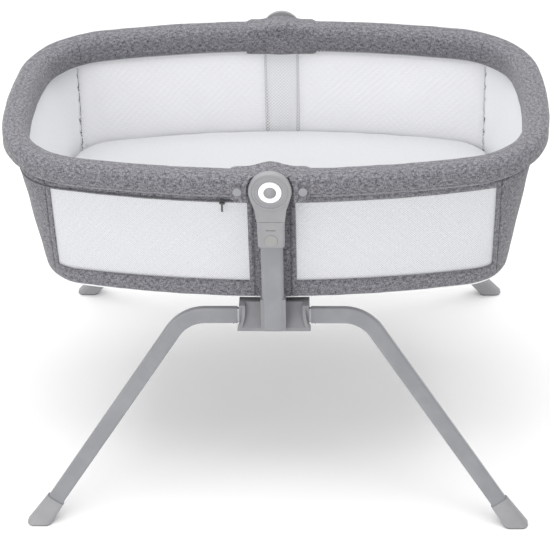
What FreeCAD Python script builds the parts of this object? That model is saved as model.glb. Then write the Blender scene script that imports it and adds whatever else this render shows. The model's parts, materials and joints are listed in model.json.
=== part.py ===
import FreeCAD, Part
import math
import os

from FreeCAD import Vector

# Bassinet on stand. Millimetres, +Z up, +X along the bassinet, -Y is the front.
# The origin is on the floor under the middle of the stand.
# Front pieces are modelled and the rear ones are their mirror images; right-hand pieces
# are modelled and the left-hand ones are theirs.

# ---- driving dimensions -------------------------------------------------------------

# Plan outline: shallow arcs along the sides and ends, joined by corner arcs.
SIDE_RADIUS = 1400.0
RIM_END_RADIUS = 800.0
RIM_CORNER_RADIUS = 145.0
TUB_END_RADIUS = 700.0
TUB_CORNER_RADIUS = 88.0

# Rim: two bent tubes in a padded cover, held by a hub in the middle of each side.
RIM_HALF_LENGTH = 429.0
RIM_HALF_WIDTH = 263.0
RIM_Z = 613.0
RIM_TUBE_RADIUS = 9.5
RIM_TUBE_WALL = 1.2
RIM_PAD_WIDTH = 46.0
RIM_PAD_HEIGHT = 48.0
RIM_PAD_CORNER = 16.0

# Fabric tub under the rim.
TUB_TOP_HALF_LENGTH = RIM_HALF_LENGTH + 2.0
TUB_TOP_HALF_WIDTH = RIM_HALF_WIDTH - 1.0
TUB_FOOT_HALF_LENGTH = TUB_TOP_HALF_LENGTH - 30.0
TUB_FOOT_HALF_WIDTH = TUB_TOP_HALF_WIDTH - 8.0
TUB_FLOOR_Z = 388.0
TUB_FOOT_ROUNDING = 13.0
TUB_WALL = 3.5
PANEL_SEAM_X = RIM_HALF_LENGTH - 65.0
WINDOW_INNER_X = 38.0
WINDOW_OUTER_X = PANEL_SEAM_X - 7.0
WINDOW_FOOT_Z = 424.0
WINDOW_TOP_Z = 573.0
MESH_THICKNESS = 1.2
MESH_INSET = 1.0
LINING_INSET = 6.0
LINING_THICKNESS = 1.2
BOARD_THICKNESS = 5.0
MATTRESS_THICKNESS = 35.5
MATTRESS_ROUNDING = 9.0
LINING_GAP = 0.8

# Hubs.
HUB_RADIUS = 34.0
HUB_FRONT_Y = -(RIM_HALF_WIDTH + 32.0)
HUB_CAP_RADIUS = HUB_RADIUS - 15.7
HUB_CAP_THICKNESS = 4.4
RIM_HUB_RADIUS = HUB_RADIUS - 8.0
RIM_HUB_DEPTH = 38.5
BOOT_GAP = 9.0
RIM_HUB_TUBE_GRIP = 14.0
RIM_PAD_GAP_X = HUB_RADIUS + 2.5
PIVOT_RADIUS = 5.0
PIVOT_HEAD_RADIUS = 9.0
PIVOT_HEAD_THICKNESS = 4.0
PIVOT_GRIP = 4.5
BUSH_WALL = 2.0
TILT_LIMIT_DEG = 5.0
STOP_ORBIT = RIM_HUB_RADIUS - 8.5
STOP_RADIUS = 3.0
STOP_LENGTH = 5.0

# Neck, socket sleeve and release button.
UPRIGHT_WIDTH = 36.0
NECK_TOP_HALF_WIDTH = UPRIGHT_WIDTH / 2 + 7.0
NECK_FOOT_HALF_WIDTH = UPRIGHT_WIDTH / 2 + 4.0
NECK_SHOULDER_Z = RIM_Z - HUB_RADIUS + 2.0
SLEEVE_TOP_Z = NECK_SHOULDER_Z - 22.5
SLEEVE_FOOT_Z = SLEEVE_TOP_Z - 47.0
SLEEVE_FOOT_HALF_WIDTH = UPRIGHT_WIDTH / 2 + 3.2
SLEEVE_FRONT_Y = HUB_FRONT_Y + 1.0
SLEEVE_BACK_Y = HUB_FRONT_Y + 28.0
SLEEVE_CORNER = 5.0
SLEEVE_FOOT_ROUNDING = 1.8
MARK_Z = SLEEVE_TOP_Z - 14.5
MARK_WIDTH = 15.0
MARK_HEIGHT = 2.4
MARK_DEPTH = 1.2
BUTTON_Z = SLEEVE_TOP_Z - 33.5
BUTTON_RADIUS = 10.3
BUTTON_PROUD = 0.8
BUTTON_THICKNESS = 2.2
BUTTON_WEB = 2.2
LOCK_PIN_RADIUS = 4.0

# Uprights.
UPRIGHT_DEPTH = 17.0
UPRIGHT_WALL = 1.8
UPRIGHT_CORNER = 7.0
UPRIGHT_Y = HUB_FRONT_Y + 16.5
UPRIGHT_FOOT_Z = 349.0
UPRIGHT_TOP_Z = SLEEVE_TOP_Z + 7.5
UPRIGHT_FOOT_ROUNDING = 5.0

# Base housings, cross tubes and spreader tubes.
HOUSING_FRONT_Y = UPRIGHT_Y + 2.5
HOUSING_BACK_Y = HOUSING_FRONT_Y + 71.0
HOUSING_FOOT_Z = 340.0
HOUSING_TOP_Z = 381.0
HOUSING_FOOT_HALF_WIDTH = 60.0
HOUSING_TOP_HALF_WIDTH = 52.0
HOUSING_WAIST = 3.0
HOUSING_FLANGE = 5.0
HOUSING_LIP = 6.0
HOUSING_RECESS = 26.0
HOUSING_SLOPE = 14.0
HOUSING_BODY_HALF_WIDTH = 57.0
HOUSING_BODY_FRONT_Y = HOUSING_FRONT_Y + 13.0
PILLAR_WALL = 2.3
PILLAR_FRONT_Y = HOUSING_FRONT_Y - 10.2
PILLAR_TOP_Z = 408.0
CROSS_Y = HOUSING_FRONT_Y + 24.0
CROSS_Z = 356.5
CROSS_HEIGHT = 24.0
CROSS_DEPTH = 12.8
CROSS_WALL = 1.5
CROSS_HALF_LENGTH = 100.0
SPREADER_RADIUS = 11.0
SPREADER_WALL = 1.5
SPREADER_X = 30.0
SPREADER_Z = 358.0
SPREADER_GRIP = 26.0
BASE_SCREWS_X = (-30.0, 30.0)
BASE_SCREW_RADIUS = 2.0
BASE_SCREW_HEAD_RADIUS = 4.2
UPRIGHT_BOLT_RADIUS = 2.2
UPRIGHT_BOLT_HEAD_RADIUS = 3.5
UPRIGHT_BOLT_X = 9.0
UPRIGHT_BOLT_Z = 375.6

# Legs and feet.
LEG_HEIGHT = 27.0
LEG_DEPTH = 15.8
LEG_WALL = 1.3
LEG_CORNER = 4.0
LEG_BEND_X = 148.0
LEG_BEND_RADIUS = 66.0
FOOT_X = 403.0
FOOT_Y = CROSS_Y - 102.5
FOOT_CAP_LENGTH = 50.0
FOOT_CAP_MARGIN = 2.2
FOOT_SOLE_LENGTH = 42.0
FOOT_SOLE_WIDTH = 30.0
FOOT_PAD_THICKNESS = 2.5
FOOT_PAD_MARGIN = 1.5
LEG_PIN_X = 69.0
LEG_PIN_RADIUS = 3.5
LEG_PIN_PROUD = 4.0
LEAF_THICKNESS = 0.8
LEAF_WIDTH = 8.0
LEAF_LENGTH = 42.0

# Fabric trim: hub flaps, press studs and the zip.
FLAP_HALF_LENGTH = HUB_RADIUS + 28.0
FLAP_THICKNESS = 3.2
FLAP_BUMP = RIM_HUB_RADIUS - RIM_PAD_HEIGHT / 2 + 4.0
FLAP_ARCH_MARGIN = 2.8
STUD_X = HUB_RADIUS + 17.0
STUD_Z = RIM_Z - 1.5
STUD_RADIUS = 7.0
STUD_THICKNESS = 2.6
ZIP_HEIGHT = 5.0
ZIP_DROP = 8.0
ZIP_THICKNESS = 1.6
ZIP_SLIDER_X = -77.0
ZIP_SLIDER_LENGTH = 9.0
ZIP_SLIDER_HEIGHT = 7.5
ZIP_SLIDER_THICKNESS = 2.2
ZIP_PULL_LENGTH = 17.0
ZIP_PULL_WIDTH = 4.6
ZIP_PULL_THICKNESS = 1.2
ZIP_PIN_RADIUS = 0.9

# Clearances.
RUNNING = 0.05
SLIDING = 0.2
SEAM = 0.4
BODY_GAP = 0.5

# ---- values that follow from them ---------------------------------------------------

RIM_HUB_FRONT_Y = -(RIM_HALF_WIDTH + RIM_PAD_WIDTH / 2) + BODY_GAP
RIM_HUB_BACK_Y = RIM_HUB_FRONT_Y + RIM_HUB_DEPTH
HUB_BACK_Y = RIM_HUB_FRONT_Y - BODY_GAP
RIM_FOOT_Z = RIM_Z - RIM_PAD_HEIGHT / 2
RIM_TOP_Z = RIM_Z + RIM_PAD_HEIGHT / 2
BOARD_Z = TUB_FLOOR_Z + TUB_WALL
MATTRESS_Z = BOARD_Z + BOARD_THICKNESS
UPRIGHT_FRONT_Y = UPRIGHT_Y - UPRIGHT_DEPTH / 2
UPRIGHT_BACK_Y = UPRIGHT_Y + UPRIGHT_DEPTH / 2
SLOT_FRONT_Y = UPRIGHT_FRONT_Y - SLIDING
WEB_FRONT_Y = SLOT_FRONT_Y - BUTTON_WEB
BUTTON_FRONT_Y = SLEEVE_FRONT_Y - BUTTON_PROUD
LOCK_PIN_TIP_Y = UPRIGHT_FRONT_Y
LEG_TILT = math.atan2(CROSS_Y - FOOT_Y, CROSS_Z)
LEG_DROP = math.hypot(CROSS_Y - FOOT_Y, CROSS_Z)
LEG_DOWN = Vector(0, -math.sin(LEG_TILT), -math.cos(LEG_TILT))
LEG_START_X = HOUSING_FOOT_HALF_WIDTH + BODY_GAP

X, Y, Z = Vector(1, 0, 0), Vector(0, 1, 0), Vector(0, 0, 1)
FAR = 1000.0


# ---- helpers ------------------------------------------------------------------------


def box(x0, x1, y0, y1, z0, z1):
    """Block between two corners."""
    return Part.makeBox(x1 - x0, y1 - y0, z1 - z0, Vector(x0, y0, z0))


def rod(radius, start, end):
    """Round bar from start to end."""
    along = end - start
    return Part.makeCylinder(radius, along.Length, start, along)


def solid_from(wire, along):
    """Solid made by pushing a closed flat wire along a vector."""
    return Part.Face(wire).extrude(along)


def rounded_rectangle(centre, across, up, width, height, radius):
    """Closed wire of a width by height rectangle with round corners."""
    across, up = Vector(across).normalize(), Vector(up).normalize()
    w, h = width / 2 - radius, height / 2 - radius
    diagonal = radius * math.sqrt(0.5)

    def at(a, b):
        return centre + across * a + up * b

    edges = []
    for a, b, turn in ((1, 1, 0), (-1, 1, 1), (-1, -1, 2), (1, -1, 3)):
        middle = at(a * (w + diagonal), b * (h + diagonal))
        side, level = at(a * (w + radius), b * h), at(a * w, b * (h + radius))
        first, last = (side, level) if turn % 2 == 0 else (level, side)
        edges.append((first, middle, last))
    parts = []
    for i, (first, middle, last) in enumerate(edges):
        parts.append(Part.Arc(first, middle, last).toShape())
        following = edges[(i + 1) % 4][0]
        if (following - last).Length > 1e-6:
            parts.append(Part.LineSegment(last, following).toShape())
    return Part.Wire(parts)


def polygon(points):
    """Closed wire through the points."""
    return Part.makePolygon(list(points) + [points[0]])


def rear(shape):
    """Rear copy of a front piece."""
    return shape.mirror(Vector(0, 0, 0), Y)


def left(shape):
    """Left copy of a right-hand piece."""
    return shape.mirror(Vector(0, 0, 0), X)


def join(first, *others):
    """One solid from several that meet or overlap."""
    return first.fuse(list(others)).removeSplitter()


# ---- plan outline -------------------------------------------------------------------


RIM_RADII = (SIDE_RADIUS, RIM_END_RADIUS, RIM_CORNER_RADIUS)
TUB_RADII = (SIDE_RADIUS, TUB_END_RADIUS, TUB_CORNER_RADIUS)


def outline_knots(half_length, half_width, radii, inset=0.0):
    """Arc centres and joints of one quarter of the plan outline, all in X and Y."""
    side, end, corner = (r - inset for r in radii)
    side_centre = Vector(0, half_width - inset - side, 0)
    end_centre = Vector(half_length - inset - end, 0, 0)
    apart = end_centre - side_centre
    reach_side, reach_end = side - corner, end - corner
    along = (reach_side**2 - reach_end**2 + apart.Length**2) / (2 * apart.Length)
    off = math.sqrt(reach_side**2 - along**2)
    unit = Vector(apart).normalize()
    across = Vector(-unit.y, unit.x, 0)
    corner_centre = max(
        (side_centre + unit * along + across * (s * off) for s in (1, -1)),
        key=lambda centre: centre.y,
    )
    to_side = (corner_centre - side_centre).normalize()
    to_end = (corner_centre - end_centre).normalize()
    return {
        "side_centre": side_centre,
        "side_joint": side_centre + to_side * side,
        "corner_middle": corner_centre + (to_side + to_end).normalize() * corner,
        "end_joint": end_centre + to_end * end,
        "side": side,
    }


def side_point(knots, x):
    """Point of the side arc at x, on the +Y side."""
    centre = knots["side_centre"]
    return Vector(x, centre.y + math.sqrt(knots["side"] ** 2 - x**2), 0)


def half_outline(half_length, half_width, radii, z, inset=0.0, gap=0.0):
    """Edges of the right-hand half, from the front centre round to the rear centre."""
    k = outline_knots(half_length, half_width, radii, inset)
    start = side_point(k, gap)
    middle = side_point(k, (gap + k["side_joint"].x) / 2)
    end = Vector(half_length - inset, 0, z)

    def front(p):
        return Vector(p.x, -p.y, z)

    def back(p):
        return Vector(p.x, p.y, z)

    return [
        Part.Arc(front(start), front(middle), front(k["side_joint"])).toShape(),
        Part.Arc(
            front(k["side_joint"]), front(k["corner_middle"]), front(k["end_joint"])
        ).toShape(),
        Part.Arc(front(k["end_joint"]), end, back(k["end_joint"])).toShape(),
        Part.Arc(
            back(k["end_joint"]), back(k["corner_middle"]), back(k["side_joint"])
        ).toShape(),
        Part.Arc(back(k["side_joint"]), back(middle), back(start)).toShape(),
    ]


def tub_outline(half_length, half_width, z, inset=0.0):
    """Closed outline of the tub at height z."""
    right = half_outline(half_length, half_width, TUB_RADII, z, inset)
    other = [e.mirror(Vector(0, 0, 0), X) for e in right]
    return Part.Wire(Part.__sortEdges__(right + other))


def tub_section(z, inset=0.0):
    """Outline of the tub's outer face at height z, moved in by inset."""
    foot = TUB_FLOOR_Z + TUB_FOOT_ROUNDING
    share = max(0.0, (z - foot) / (RIM_FOOT_Z - foot))
    a = TUB_FOOT_HALF_LENGTH + share * (TUB_TOP_HALF_LENGTH - TUB_FOOT_HALF_LENGTH)
    b = TUB_FOOT_HALF_WIDTH + share * (TUB_TOP_HALF_WIDTH - TUB_FOOT_HALF_WIDTH)
    return tub_outline(a, b, z, inset + max(0.0, foot - z))


def tub_solid(inset, z_from, z_to):
    """Solid inside the tub's outer face moved in by inset, between two heights."""
    foot = TUB_FLOOR_Z + TUB_FOOT_ROUNDING
    levels = [z_from] + ([foot] if z_from < foot < z_to else []) + [z_to]
    return Part.makeLoft([tub_section(z, inset) for z in levels], True, True)


# ---- rim ----------------------------------------------------------------------------


def swept_half(wire_section, gap):
    """Solid swept along the right-hand half of the rim's centre line."""
    path = Part.Wire(half_outline(RIM_HALF_LENGTH, RIM_HALF_WIDTH, RIM_RADII, RIM_Z, 0.0, gap))
    return path.makePipeShell([wire_section], True, True)


def rim_start(gap):
    """Start of the right-hand centre line, with the direction square to it."""
    k = outline_knots(RIM_HALF_LENGTH, RIM_HALF_WIDTH, RIM_RADII)
    p = side_point(k, gap)
    outward = Vector(p.x, -(p.y - k["side_centre"].y), 0).normalize()
    return Vector(p.x, -p.y, RIM_Z), outward


def rim_bar(radius, gap):
    """Round bar along the right-hand half of the rim."""
    start, outward = rim_start(gap)
    ring = Part.Circle(start, outward.cross(Z), radius).toShape()
    return swept_half(Part.Wire([ring]), gap)


def rim_pad(growth, gap):
    """Padding's outer shape along the right-hand half of the rim."""
    start, outward = rim_start(gap)
    section = rounded_rectangle(
        start,
        outward,
        Z,
        RIM_PAD_WIDTH + 2 * growth,
        RIM_PAD_HEIGHT + 2 * growth,
        RIM_PAD_CORNER + growth,
    )
    return swept_half(section, gap)


def make_rim():
    tube_gap = RIM_HUB_RADIUS - RIM_HUB_TUBE_GRIP
    bar = rim_bar(RIM_TUBE_RADIUS, tube_gap)
    tube = bar.cut(rim_bar(RIM_TUBE_RADIUS - RIM_TUBE_WALL, tube_gap))
    pad = rim_pad(0.0, RIM_PAD_GAP_X).cut(bar)
    return {
        "right_rim_tube": tube,
        "left_rim_tube": left(tube),
        "right_rim_padding": pad,
        "left_rim_padding": left(pad),
    }


def hub_axis_rod(radius, y_from, y_to):
    """Bar on the front hub's axis."""
    return rod(radius, Vector(0, y_from, RIM_Z), Vector(0, y_to, RIM_Z))


def make_rim_hub():
    """Drum that grips both rim tubes and turns on the pivot bolt."""
    drum = hub_axis_rod(RIM_HUB_RADIUS, RIM_HUB_FRONT_Y, RIM_HUB_BACK_Y)
    tube_gap = RIM_HUB_RADIUS - RIM_HUB_TUBE_GRIP
    socket = rim_bar(RIM_TUBE_RADIUS, tube_gap)
    bore = hub_axis_rod(PIVOT_RADIUS + BUSH_WALL, RIM_HUB_FRONT_Y, RIM_HUB_BACK_Y)
    drum = drum.cut([socket, left(socket), bore])

    reach = STOP_RADIUS + SLIDING
    ring = hub_axis_rod(
        STOP_ORBIT + reach, RIM_HUB_FRONT_Y, RIM_HUB_FRONT_Y + STOP_LENGTH + SLIDING
    ).cut(hub_axis_rod(STOP_ORBIT - reach, RIM_HUB_FRONT_Y, RIM_HUB_BACK_Y))
    half_angle = math.radians(TILT_LIMIT_DEG) + reach / STOP_ORBIT
    wedge = polygon(
        [
            Vector(0, RIM_HUB_FRONT_Y, RIM_Z),
            Vector(-FAR * math.tan(half_angle), RIM_HUB_FRONT_Y, RIM_Z + FAR),
            Vector(FAR * math.tan(half_angle), RIM_HUB_FRONT_Y, RIM_Z + FAR),
        ]
    )
    slot = ring.common(solid_from(wedge, Y * RIM_HUB_DEPTH))
    drum = drum.cut(slot)
    bush = hub_axis_rod(
        PIVOT_RADIUS + BUSH_WALL, RIM_HUB_FRONT_Y, RIM_HUB_BACK_Y
    ).cut(hub_axis_rod(PIVOT_RADIUS + RUNNING, RIM_HUB_FRONT_Y, RIM_HUB_BACK_Y))
    return {
        "front_rim_hub": drum,
        "rear_rim_hub": rear(drum),
        "pivot_bushes": Part.makeCompound([bush, rear(bush)]),
    }


# ---- hub housing, sleeve, button ----------------------------------------------------


def make_hub_disc():
    """Turned disc with a stepped face and a seat for the cap."""
    seat_y = HUB_FRONT_Y + HUB_CAP_THICKNESS - 0.6
    ring_out, ring_in = HUB_RADIUS - 1.6, HUB_RADIUS - 4.6
    profile = [
        (0, HUB_BACK_Y),
        (HUB_RADIUS, HUB_BACK_Y),
        (HUB_RADIUS, HUB_FRONT_Y + 4.0),
        (HUB_RADIUS - 0.5, HUB_FRONT_Y + 1.6),
        (ring_out, HUB_FRONT_Y + 0.4),
        (ring_in, HUB_FRONT_Y + 0.4),
        (ring_in - 0.8, HUB_FRONT_Y + 1.6),
        (ring_in - 4.6, HUB_FRONT_Y + 0.6),
        (ring_in - 5.2, HUB_FRONT_Y + 1.4),
        (HUB_CAP_RADIUS + 1.4, HUB_FRONT_Y + 1.0),
        (HUB_CAP_RADIUS + 0.2, HUB_FRONT_Y + 2.0),
        (HUB_CAP_RADIUS + 0.2, seat_y),
        (0, seat_y),
    ]
    wire = polygon([Vector(r, y, RIM_Z) for r, y in profile])
    return Part.Face(wire).revolve(Vector(0, 0, RIM_Z), Y, 360)


def make_neck():
    """Shoulders under the disc, narrowing to the sleeve."""
    tangent_x, tangent_z = HUB_RADIUS * 0.92, RIM_Z - HUB_RADIUS * 0.39
    foot_z = SLEEVE_TOP_Z + SEAM

    def flank(sign):
        return Part.Arc(
            Vector(sign * tangent_x, 0, tangent_z),
            Vector(sign * (NECK_TOP_HALF_WIDTH + 2.4), 0, NECK_SHOULDER_Z + 7.5),
            Vector(sign * NECK_TOP_HALF_WIDTH, 0, NECK_SHOULDER_Z),
        ).toShape()

    corners = [
        Vector(NECK_TOP_HALF_WIDTH, 0, NECK_SHOULDER_Z),
        Vector(NECK_FOOT_HALF_WIDTH, 0, foot_z),
        Vector(-NECK_FOOT_HALF_WIDTH, 0, foot_z),
        Vector(-NECK_TOP_HALF_WIDTH, 0, NECK_SHOULDER_Z),
    ]
    lines = [
        Part.LineSegment(p, q).toShape() for p, q in zip(corners[:-1], corners[1:])
    ]
    top = Part.LineSegment(
        Vector(-tangent_x, 0, tangent_z), Vector(tangent_x, 0, tangent_z)
    ).toShape()
    wire = Part.Wire(Part.__sortEdges__([flank(1), flank(-1), top] + lines))
    front = SLEEVE_FRONT_Y + 0.4
    wire.translate(Vector(0, front, 0))
    plate = solid_from(wire, Y * (HUB_BACK_Y - front))
    plate = plate.cut(hub_axis_rod(HUB_RADIUS - 1.0, front, HUB_BACK_Y))
    boot_top = RIM_Z - RIM_HUB_RADIUS - BOOT_GAP
    boot = box(
        -NECK_FOOT_HALF_WIDTH,
        NECK_FOOT_HALF_WIDTH,
        front + 1.0,
        SLEEVE_BACK_Y,
        foot_z,
        boot_top,
    )
    return plate, boot


def upright_wire(z, growth=0.0):
    """Flat oval section of the upright."""
    return rounded_rectangle(
        Vector(0, UPRIGHT_Y, z),
        X,
        Y,
        UPRIGHT_WIDTH + 2 * growth,
        UPRIGHT_DEPTH + 2 * growth,
        UPRIGHT_CORNER + growth,
    )


def make_hub_housing():
    disc = make_hub_disc()
    plate, boot = make_neck()
    stop = rod(
        STOP_RADIUS,
        Vector(0, HUB_BACK_Y - 1.0, RIM_Z + STOP_ORBIT),
        Vector(0, RIM_HUB_FRONT_Y + STOP_LENGTH, RIM_Z + STOP_ORBIT),
    )
    body = join(disc, plate, boot, stop)
    pocket = solid_from(
        upright_wire(SLEEVE_TOP_Z - 1.0, SLIDING), Z * (UPRIGHT_TOP_Z + 2.0 - SLEEVE_TOP_Z)
    )
    bore = hub_axis_rod(PIVOT_RADIUS, HUB_BACK_Y - PIVOT_GRIP, HUB_BACK_Y + 1.0)
    return body.cut([pocket, bore])


def make_hub_cap():
    """Plain domed cap in the middle of the disc."""
    back_y = HUB_FRONT_Y + HUB_CAP_THICKNESS - 0.6
    front_y = back_y - HUB_CAP_THICKNESS
    cap = hub_axis_rod(HUB_CAP_RADIUS, front_y, back_y)
    rim_edge = [
        e
        for e in cap.Edges
        if e.Closed and abs(e.CenterOfMass.y - front_y) < 1e-6
    ]
    return cap.makeFillet(1.2, rim_edge)


def make_pivot_bolt():
    """Bolt fixed in the hub housing; its head retains the rim hub."""
    shank = hub_axis_rod(PIVOT_RADIUS, HUB_BACK_Y - PIVOT_GRIP, RIM_HUB_BACK_Y + SLIDING)
    head = hub_axis_rod(
        PIVOT_HEAD_RADIUS,
        RIM_HUB_BACK_Y + SLIDING,
        RIM_HUB_BACK_Y + SLIDING + PIVOT_HEAD_THICKNESS,
    )
    return join(shank, head)


def button_rod(radius, y_from, y_to):
    """Bar on the front release button's axis."""
    return rod(radius, Vector(0, y_from, BUTTON_Z), Vector(0, y_to, BUTTON_Z))


def make_sleeve():
    """Socket that the upright slides into, with the button's pocket."""
    front = polygon(
        [
            Vector(s * w, SLEEVE_FRONT_Y, z)
            for s, w, z in (
                (-1, SLEEVE_FOOT_HALF_WIDTH, SLEEVE_FOOT_Z),
                (1, SLEEVE_FOOT_HALF_WIDTH, SLEEVE_FOOT_Z),
                (1, NECK_FOOT_HALF_WIDTH, SLEEVE_TOP_Z),
                (-1, NECK_FOOT_HALF_WIDTH, SLEEVE_TOP_Z),
            )
        ]
    )
    body = solid_from(front, Y * (SLEEVE_BACK_Y - SLEEVE_FRONT_Y))
    upright_edges = [e for e in body.Edges if e.BoundBox.ZLength > 1.0]
    body = body.makeFillet(SLEEVE_CORNER, upright_edges)
    foot_edges = [e for e in body.Edges if e.BoundBox.ZMax < SLEEVE_FOOT_Z + 0.5]
    body = body.makeFillet(SLEEVE_FOOT_ROUNDING, foot_edges)
    slot = solid_from(
        upright_wire(SLEEVE_FOOT_Z - 1.0, SLIDING), Z * (SLEEVE_TOP_Z - SLEEVE_FOOT_Z + 2.0)
    )
    pocket = button_rod(BUTTON_RADIUS + SLIDING, SLEEVE_FRONT_Y - 1.0, WEB_FRONT_Y)
    pin_hole = button_rod(LOCK_PIN_RADIUS + SLIDING, SLEEVE_FRONT_Y, UPRIGHT_Y)
    mark = box(
        -MARK_WIDTH / 2,
        MARK_WIDTH / 2,
        SLEEVE_FRONT_Y - 1.0,
        SLEEVE_FRONT_Y + MARK_DEPTH,
        MARK_Z - MARK_HEIGHT / 2,
        MARK_Z + MARK_HEIGHT / 2,
    )
    return body.cut([slot, pocket, pin_hole, mark])


def make_button():
    """Round press button with the post that pushes the lock pin in."""
    cap = button_rod(BUTTON_RADIUS, BUTTON_FRONT_Y, BUTTON_FRONT_Y + BUTTON_THICKNESS)
    front_edge = [
        e
        for e in cap.Edges
        if e.Closed and abs(e.CenterOfMass.y - BUTTON_FRONT_Y) < 1e-6
    ]
    cap = cap.makeFillet(0.7, front_edge)
    post = button_rod(
        LOCK_PIN_RADIUS - SLIDING,
        BUTTON_FRONT_Y + BUTTON_THICKNESS - 0.2,
        LOCK_PIN_TIP_Y - SLIDING,
    )
    return join(cap, post)


def make_lock_pin():
    """Pin that locks the upright in the sleeve, on its leaf spring in the tube."""
    shoulder_y = UPRIGHT_FRONT_Y + UPRIGHT_WALL + SLIDING
    pin = button_rod(LOCK_PIN_RADIUS, LOCK_PIN_TIP_Y, shoulder_y)
    leaf = box(
        -LEAF_WIDTH / 2,
        LEAF_WIDTH / 2,
        shoulder_y,
        shoulder_y + LEAF_THICKNESS,
        BUTTON_Z - LEAF_LENGTH,
        BUTTON_Z + LEAF_WIDTH,
    )
    return Part.makeCompound([pin, leaf])


def upright_silhouette(shape):
    """Shape with the upright's lower corners rounded off, as seen from the front."""
    silhouette = rounded_rectangle(
        Vector(0, UPRIGHT_FRONT_Y - 1.0, UPRIGHT_FOOT_Z + FAR / 2),
        X,
        Z,
        UPRIGHT_WIDTH,
        FAR,
        UPRIGHT_FOOT_ROUNDING,
    )
    return shape.common(solid_from(silhouette, Y * (UPRIGHT_DEPTH + 2.0)))


def make_upright():
    """Flat oval tube with a rounded foot."""
    length = UPRIGHT_TOP_Z - UPRIGHT_FOOT_Z
    outer = solid_from(upright_wire(UPRIGHT_FOOT_Z), Z * length)
    inner = solid_from(upright_wire(UPRIGHT_FOOT_Z, -UPRIGHT_WALL), Z * length)
    tube = upright_silhouette(outer.cut(inner))
    pin_hole = button_rod(LOCK_PIN_RADIUS + SLIDING, SLEEVE_FRONT_Y, UPRIGHT_Y)
    bolt_holes = [
        upright_bolt_rod(x, UPRIGHT_BOLT_RADIUS, UPRIGHT_Y, HOUSING_BACK_Y)
        for x in (-UPRIGHT_BOLT_X, UPRIGHT_BOLT_X)
    ]
    return tube.cut([pin_hole] + bolt_holes)


def make_hubs():
    pieces = {
        "hub_housing": make_hub_housing(),
        "hub_cap": make_hub_cap(),
        "pivot_bolt": make_pivot_bolt(),
        "socket_sleeve": make_sleeve(),
        "release_button": make_button(),
        "lock_pin": make_lock_pin(),
        "upright": make_upright(),
    }
    named = {"front_" + name: shape for name, shape in pieces.items()}
    named.update({"rear_" + name: rear(shape) for name, shape in pieces.items()})
    return named


# ---- base ---------------------------------------------------------------------------


def leg_plane(x, down, out=0.0):
    """Point in the leaning plane of a front leg: along X, down the plane, out of it."""
    normal = X.cross(LEG_DOWN)
    return Vector(x, CROSS_Y, CROSS_Z) + LEG_DOWN * down + normal * out


def cross_section(x, growth=0.0, radius=LEG_CORNER):
    """Section of the cross tube, grown all round."""
    return rounded_rectangle(
        leg_plane(x, 0),
        LEG_DOWN,
        X.cross(LEG_DOWN),
        CROSS_HEIGHT + 2 * growth,
        CROSS_DEPTH + 2 * growth,
        max(0.5, radius + growth - LEG_WALL),
    )


def make_cross_tube():
    length = 2 * CROSS_HALF_LENGTH
    outer = solid_from(cross_section(-CROSS_HALF_LENGTH), X * length)
    inner = solid_from(cross_section(-CROSS_HALF_LENGTH, -CROSS_WALL), X * length)
    holes = [leg_pin_rod(s * LEG_PIN_X, LEG_PIN_RADIUS + SLIDING, 0, FAR / 10) for s in (1, -1)]
    screws = [base_screw_rod(x, BASE_SCREW_RADIUS, HOUSING_FOOT_Z, CROSS_Z) for x in BASE_SCREWS_X]
    return outer.cut([inner] + holes + screws)


def housing_profile(margin=0.0):
    """Front view of the housing: a waisted block."""
    foot, top = HOUSING_FOOT_HALF_WIDTH - margin, HOUSING_TOP_HALF_WIDTH - margin
    middle = (foot + top) / 2 - HOUSING_WAIST
    middle_z = (HOUSING_FOOT_Z + HOUSING_TOP_Z) / 2
    right = Part.Arc(
        Vector(foot, 0, HOUSING_FOOT_Z), Vector(middle, 0, middle_z), Vector(top, 0, HOUSING_TOP_Z)
    ).toShape()
    other = Part.Arc(
        Vector(-top, 0, HOUSING_TOP_Z),
        Vector(-middle, 0, middle_z),
        Vector(-foot, 0, HOUSING_FOOT_Z),
    ).toShape()
    lines = [
        Part.LineSegment(Vector(top, 0, HOUSING_TOP_Z), Vector(-top, 0, HOUSING_TOP_Z)).toShape(),
        Part.LineSegment(
            Vector(-foot, 0, HOUSING_FOOT_Z), Vector(foot, 0, HOUSING_FOOT_Z)
        ).toShape(),
    ]
    return Part.Wire(Part.__sortEdges__([right, other] + lines))


def housing_block(margin, y_from, y_to):
    wire = housing_profile(margin)
    wire.translate(Vector(0, y_from, 0))
    return solid_from(wire, Y * (y_to - y_from))



def base_screw_rod(x, radius, z_from, z_to):
    return rod(radius, Vector(x, CROSS_Y, z_from), Vector(x, CROSS_Y, z_to))


def upright_bolt_rod(x, radius, y_from, y_to):
    return rod(radius, Vector(x, y_from, UPRIGHT_BOLT_Z), Vector(x, y_to, UPRIGHT_BOLT_Z))


def side_prism(curve_points, corners):
    """Block across the whole housing: an arc through three (y, z) points, then corners."""
    first, middle, last = (Vector(0, y, z) for y, z in curve_points)
    rest = [last] + [Vector(0, y, z) for y, z in corners] + [first]
    edges = [Part.Arc(first, middle, last).toShape()]
    edges += [Part.LineSegment(p, q).toShape() for p, q in zip(rest[:-1], rest[1:])]
    wire = Part.Wire(edges)
    wire.translate(X * (-FAR / 10))
    return solid_from(wire, X * (FAR / 5))


def face_recess():
    """Hollow of the housing's front face: deepest at the top, fading out at the lip."""
    low, high = HOUSING_FOOT_Z + HOUSING_LIP, HOUSING_TOP_Z + 1.0
    front, back = HOUSING_FRONT_Y, HOUSING_FRONT_Y + HOUSING_RECESS
    middle = (front + HOUSING_RECESS * 0.45, low + (high - low) * 0.35)
    return side_prism(
        ((front, low), middle, (back, high)), ((front - 1.0, high), (front - 1.0, low))
    )


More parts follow.
